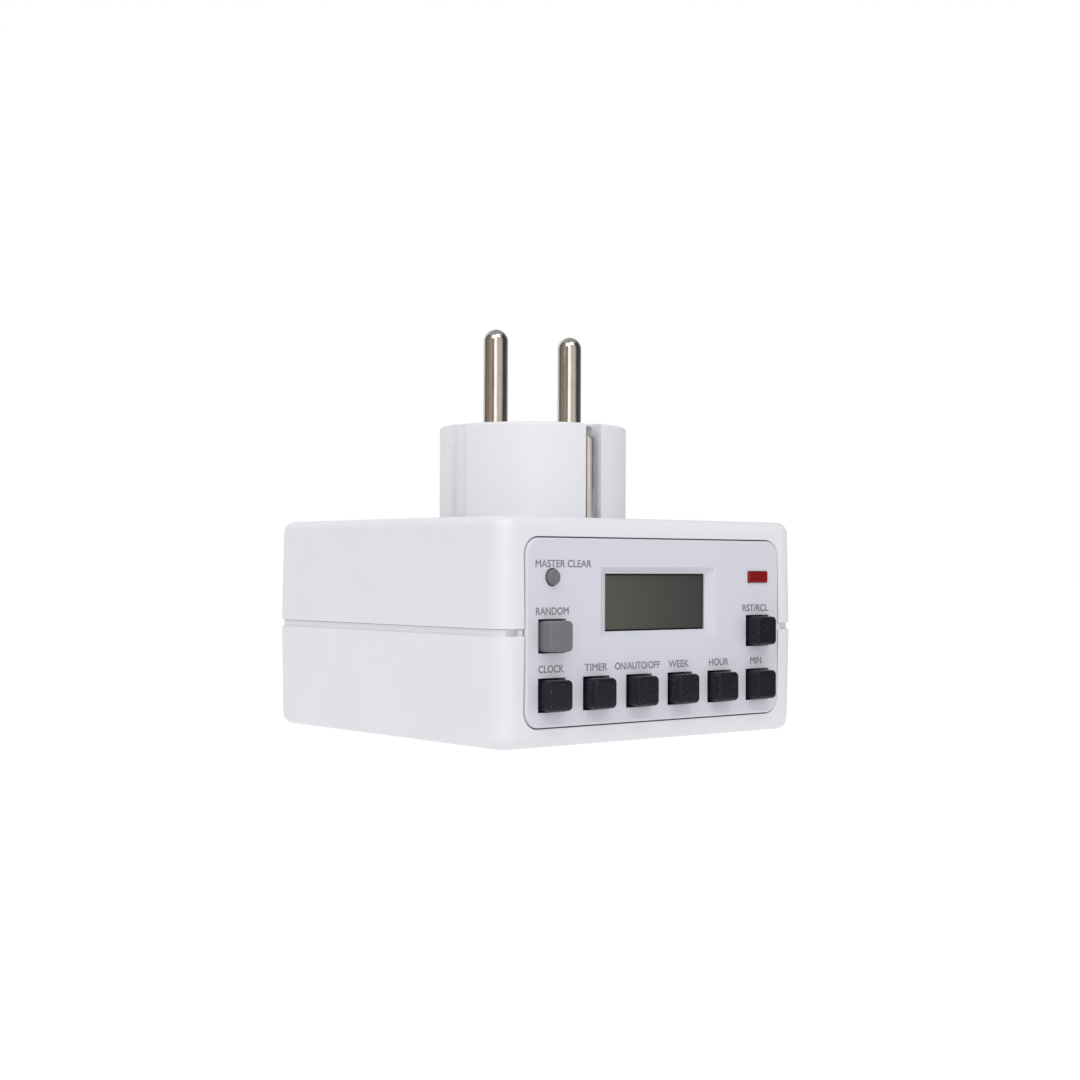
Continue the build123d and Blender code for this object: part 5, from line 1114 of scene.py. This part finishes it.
def contact_outline():
    """The domed contact's radii and heights, from its flat foot to its top."""
    foot = armature_low.z / MM + CONTACT_FOOT
    top = armature_high.z / MM
    outline = [(0, foot), (CONTACT_RADIUS, foot)]
    outline += [(CONTACT_RADIUS, top - CONTACT_DOME - CONTACT_EDGE)]
    outline += [(share * CONTACT_RADIUS, top - CONTACT_DOME * share ** 2) for share in DOME_SHARES]
    return outline + [(0, top)]


def make_blade():
    """The sprung brass blade on the plate, with its contact."""
    middle = (armature_low.y + armature_high.y) / 2
    low = Vector((armature_low.x + BLADE_START * MM, middle - BLADE_HALF_WIDTH * MM, plate_top))
    high = Vector((armature_high.x, middle + BLADE_HALF_WIDTH * MM,
                   plate_top + BLADE_THICKNESS * MM))
    contact_place = Vector((high.x - (CONTACT_RADIUS + CONTACT_MARGIN) * MM, middle, 0))
    shape = plate_shape(low, high)
    turn_rings(shape, contact_outline(), contact_place, LATHE_STEPS // 2)
    blade = smooth_piece("armature_blade", shape, rolled_brass)
    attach(blade, "relay_armature")
    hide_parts("relay_armature")
    print("blade faces:", len(blade.data.polygons))


make_plate()
make_blade()

# %% [markdown]
# ## The printed words
#
# Each key has its function printed above it. Real printing is a film of ink a few hundredths
# of a millimetre thick, so each word is a text curve, made into a mesh and given that
# thickness. It stands on the panel's face and is placed from the key that it names.

# %% Letters as a mesh
# FONT_CAP is the height of a capital letter as a share of the font's size.
CAP_HEIGHT = 1.25
FONT_CAP = 0.69
STROKE_GROWTH = 0.045
CURVE_STEPS = 4


def thicken_strokes(shape, growth):
    """Moves the outline of flat letters outwards by a little, which makes their strokes bolder."""
    outward = {corner: Vector() for corner in shape.verts}
    for edge in shape.edges:
        if edge.is_boundary:
            loop = edge.link_loops[0]
            along = loop.link_loop_next.vert.co - loop.vert.co
            for corner in edge.verts:
                outward[corner] += along.normalized().cross(loop.face.normal)
    for corner, away in outward.items():
        corner.co += away.normalized() * growth


def word_mesh(words, width):
    """Words as a flat mesh in the XZ plane, of a given width, with their baseline at zero."""
    curve = bpy.data.curves.new("words", "FONT")
    curve.body = words
    curve.size = CAP_HEIGHT / FONT_CAP * MM
    curve.resolution_u = CURVE_STEPS
    mesh = evaluated_mesh(new_object("words", curve))
    across = [corner.co.x for corner in mesh.vertices]
    left, right = min(across), max(across)
    squeeze = Matrix.Diagonal((width * MM / (right - left), 1, 1, 1))
    mesh.transform(squeeze @ Matrix.Translation((-(left + right) / 2, 0, 0)))
    shape = bmesh.new()
    shape.from_mesh(mesh)
    bmesh.ops.remove_doubles(shape, verts=list(shape.verts), dist=MERGE_DISTANCE)
    thicken_strokes(shape, STROKE_GROWTH * MM)
    shape.to_mesh(mesh)
    shape.free()
    mesh.transform(Matrix.Rotation(math.radians(90), 4, "X"))
    return mesh


print("letter height in mm:", CAP_HEIGHT)

# %% Print the words on the panel
INK_THICKNESS = 0.02
# Each key's words, their width, and how far right of and above its middle they stand, in mm.
LABELS = {
    "clock_button": ("CLOCK", 5.7, -0.20, 3.95),
    "timer_button": ("TIMER", 5.25, -0.10, 3.95),
    "mode_button": ("ON/AUTO/OFF", 11.0, -0.35, 3.95),
    "week_button": ("WEEK", 5.2, -0.32, 3.95),
    "hour_button": ("HOUR", 5.1, -0.18, 3.95),
    "minute_button": ("MIN", 3.0, -0.38, 3.95),
    "random_button": ("RANDOM", 7.4, 0.03, 3.75),
    "recall_button": ("RST/RCL", 7.0, -0.53, 3.75),
    "reset_button": ("MASTER CLEAR", 12.8, 2.61, 1.75),
}


def key_place(node_name):
    """The middle of a key, seen from the front: its X and its Z."""
    low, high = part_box(node_name)
    return (low.x + high.x) / 2, (low.z + high.z) / 2


def print_words():
    """All the words in one mesh on the panel's face, as thick as the ink."""
    panel_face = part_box("control_panel")[0].y
    shape = bmesh.new()
    for node_name, (words, width, across, rise) in LABELS.items():
        x, z = key_place(node_name)
        mesh = word_mesh(words, width)
        mesh.transform(Matrix.Translation((x + across * MM, panel_face, z + rise * MM)))
        shape.from_mesh(mesh)
        bpy.data.meshes.remove(mesh)
    faces = list(shape.faces)
    bmesh.ops.recalc_face_normals(shape, faces=faces)
    for face in faces:
        if face.normal.y > 0:
            face.normal_flip()
    lifted = bmesh.ops.extrude_face_region(shape, geom=faces)
    moved = [item for item in lifted["geom"] if isinstance(item, bmesh.types.BMVert)]
    bmesh.ops.translate(shape, verts=moved, vec=(0, -INK_THICKNESS * MM, 0))
    bmesh.ops.recalc_face_normals(shape, faces=list(shape.faces))
    return new_piece("panel_words", shape, grey_ink)


words_piece = print_words()
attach(words_piece, "housing")
print("labels:", len(LABELS), "faces:", len(words_piece.data.polygons))
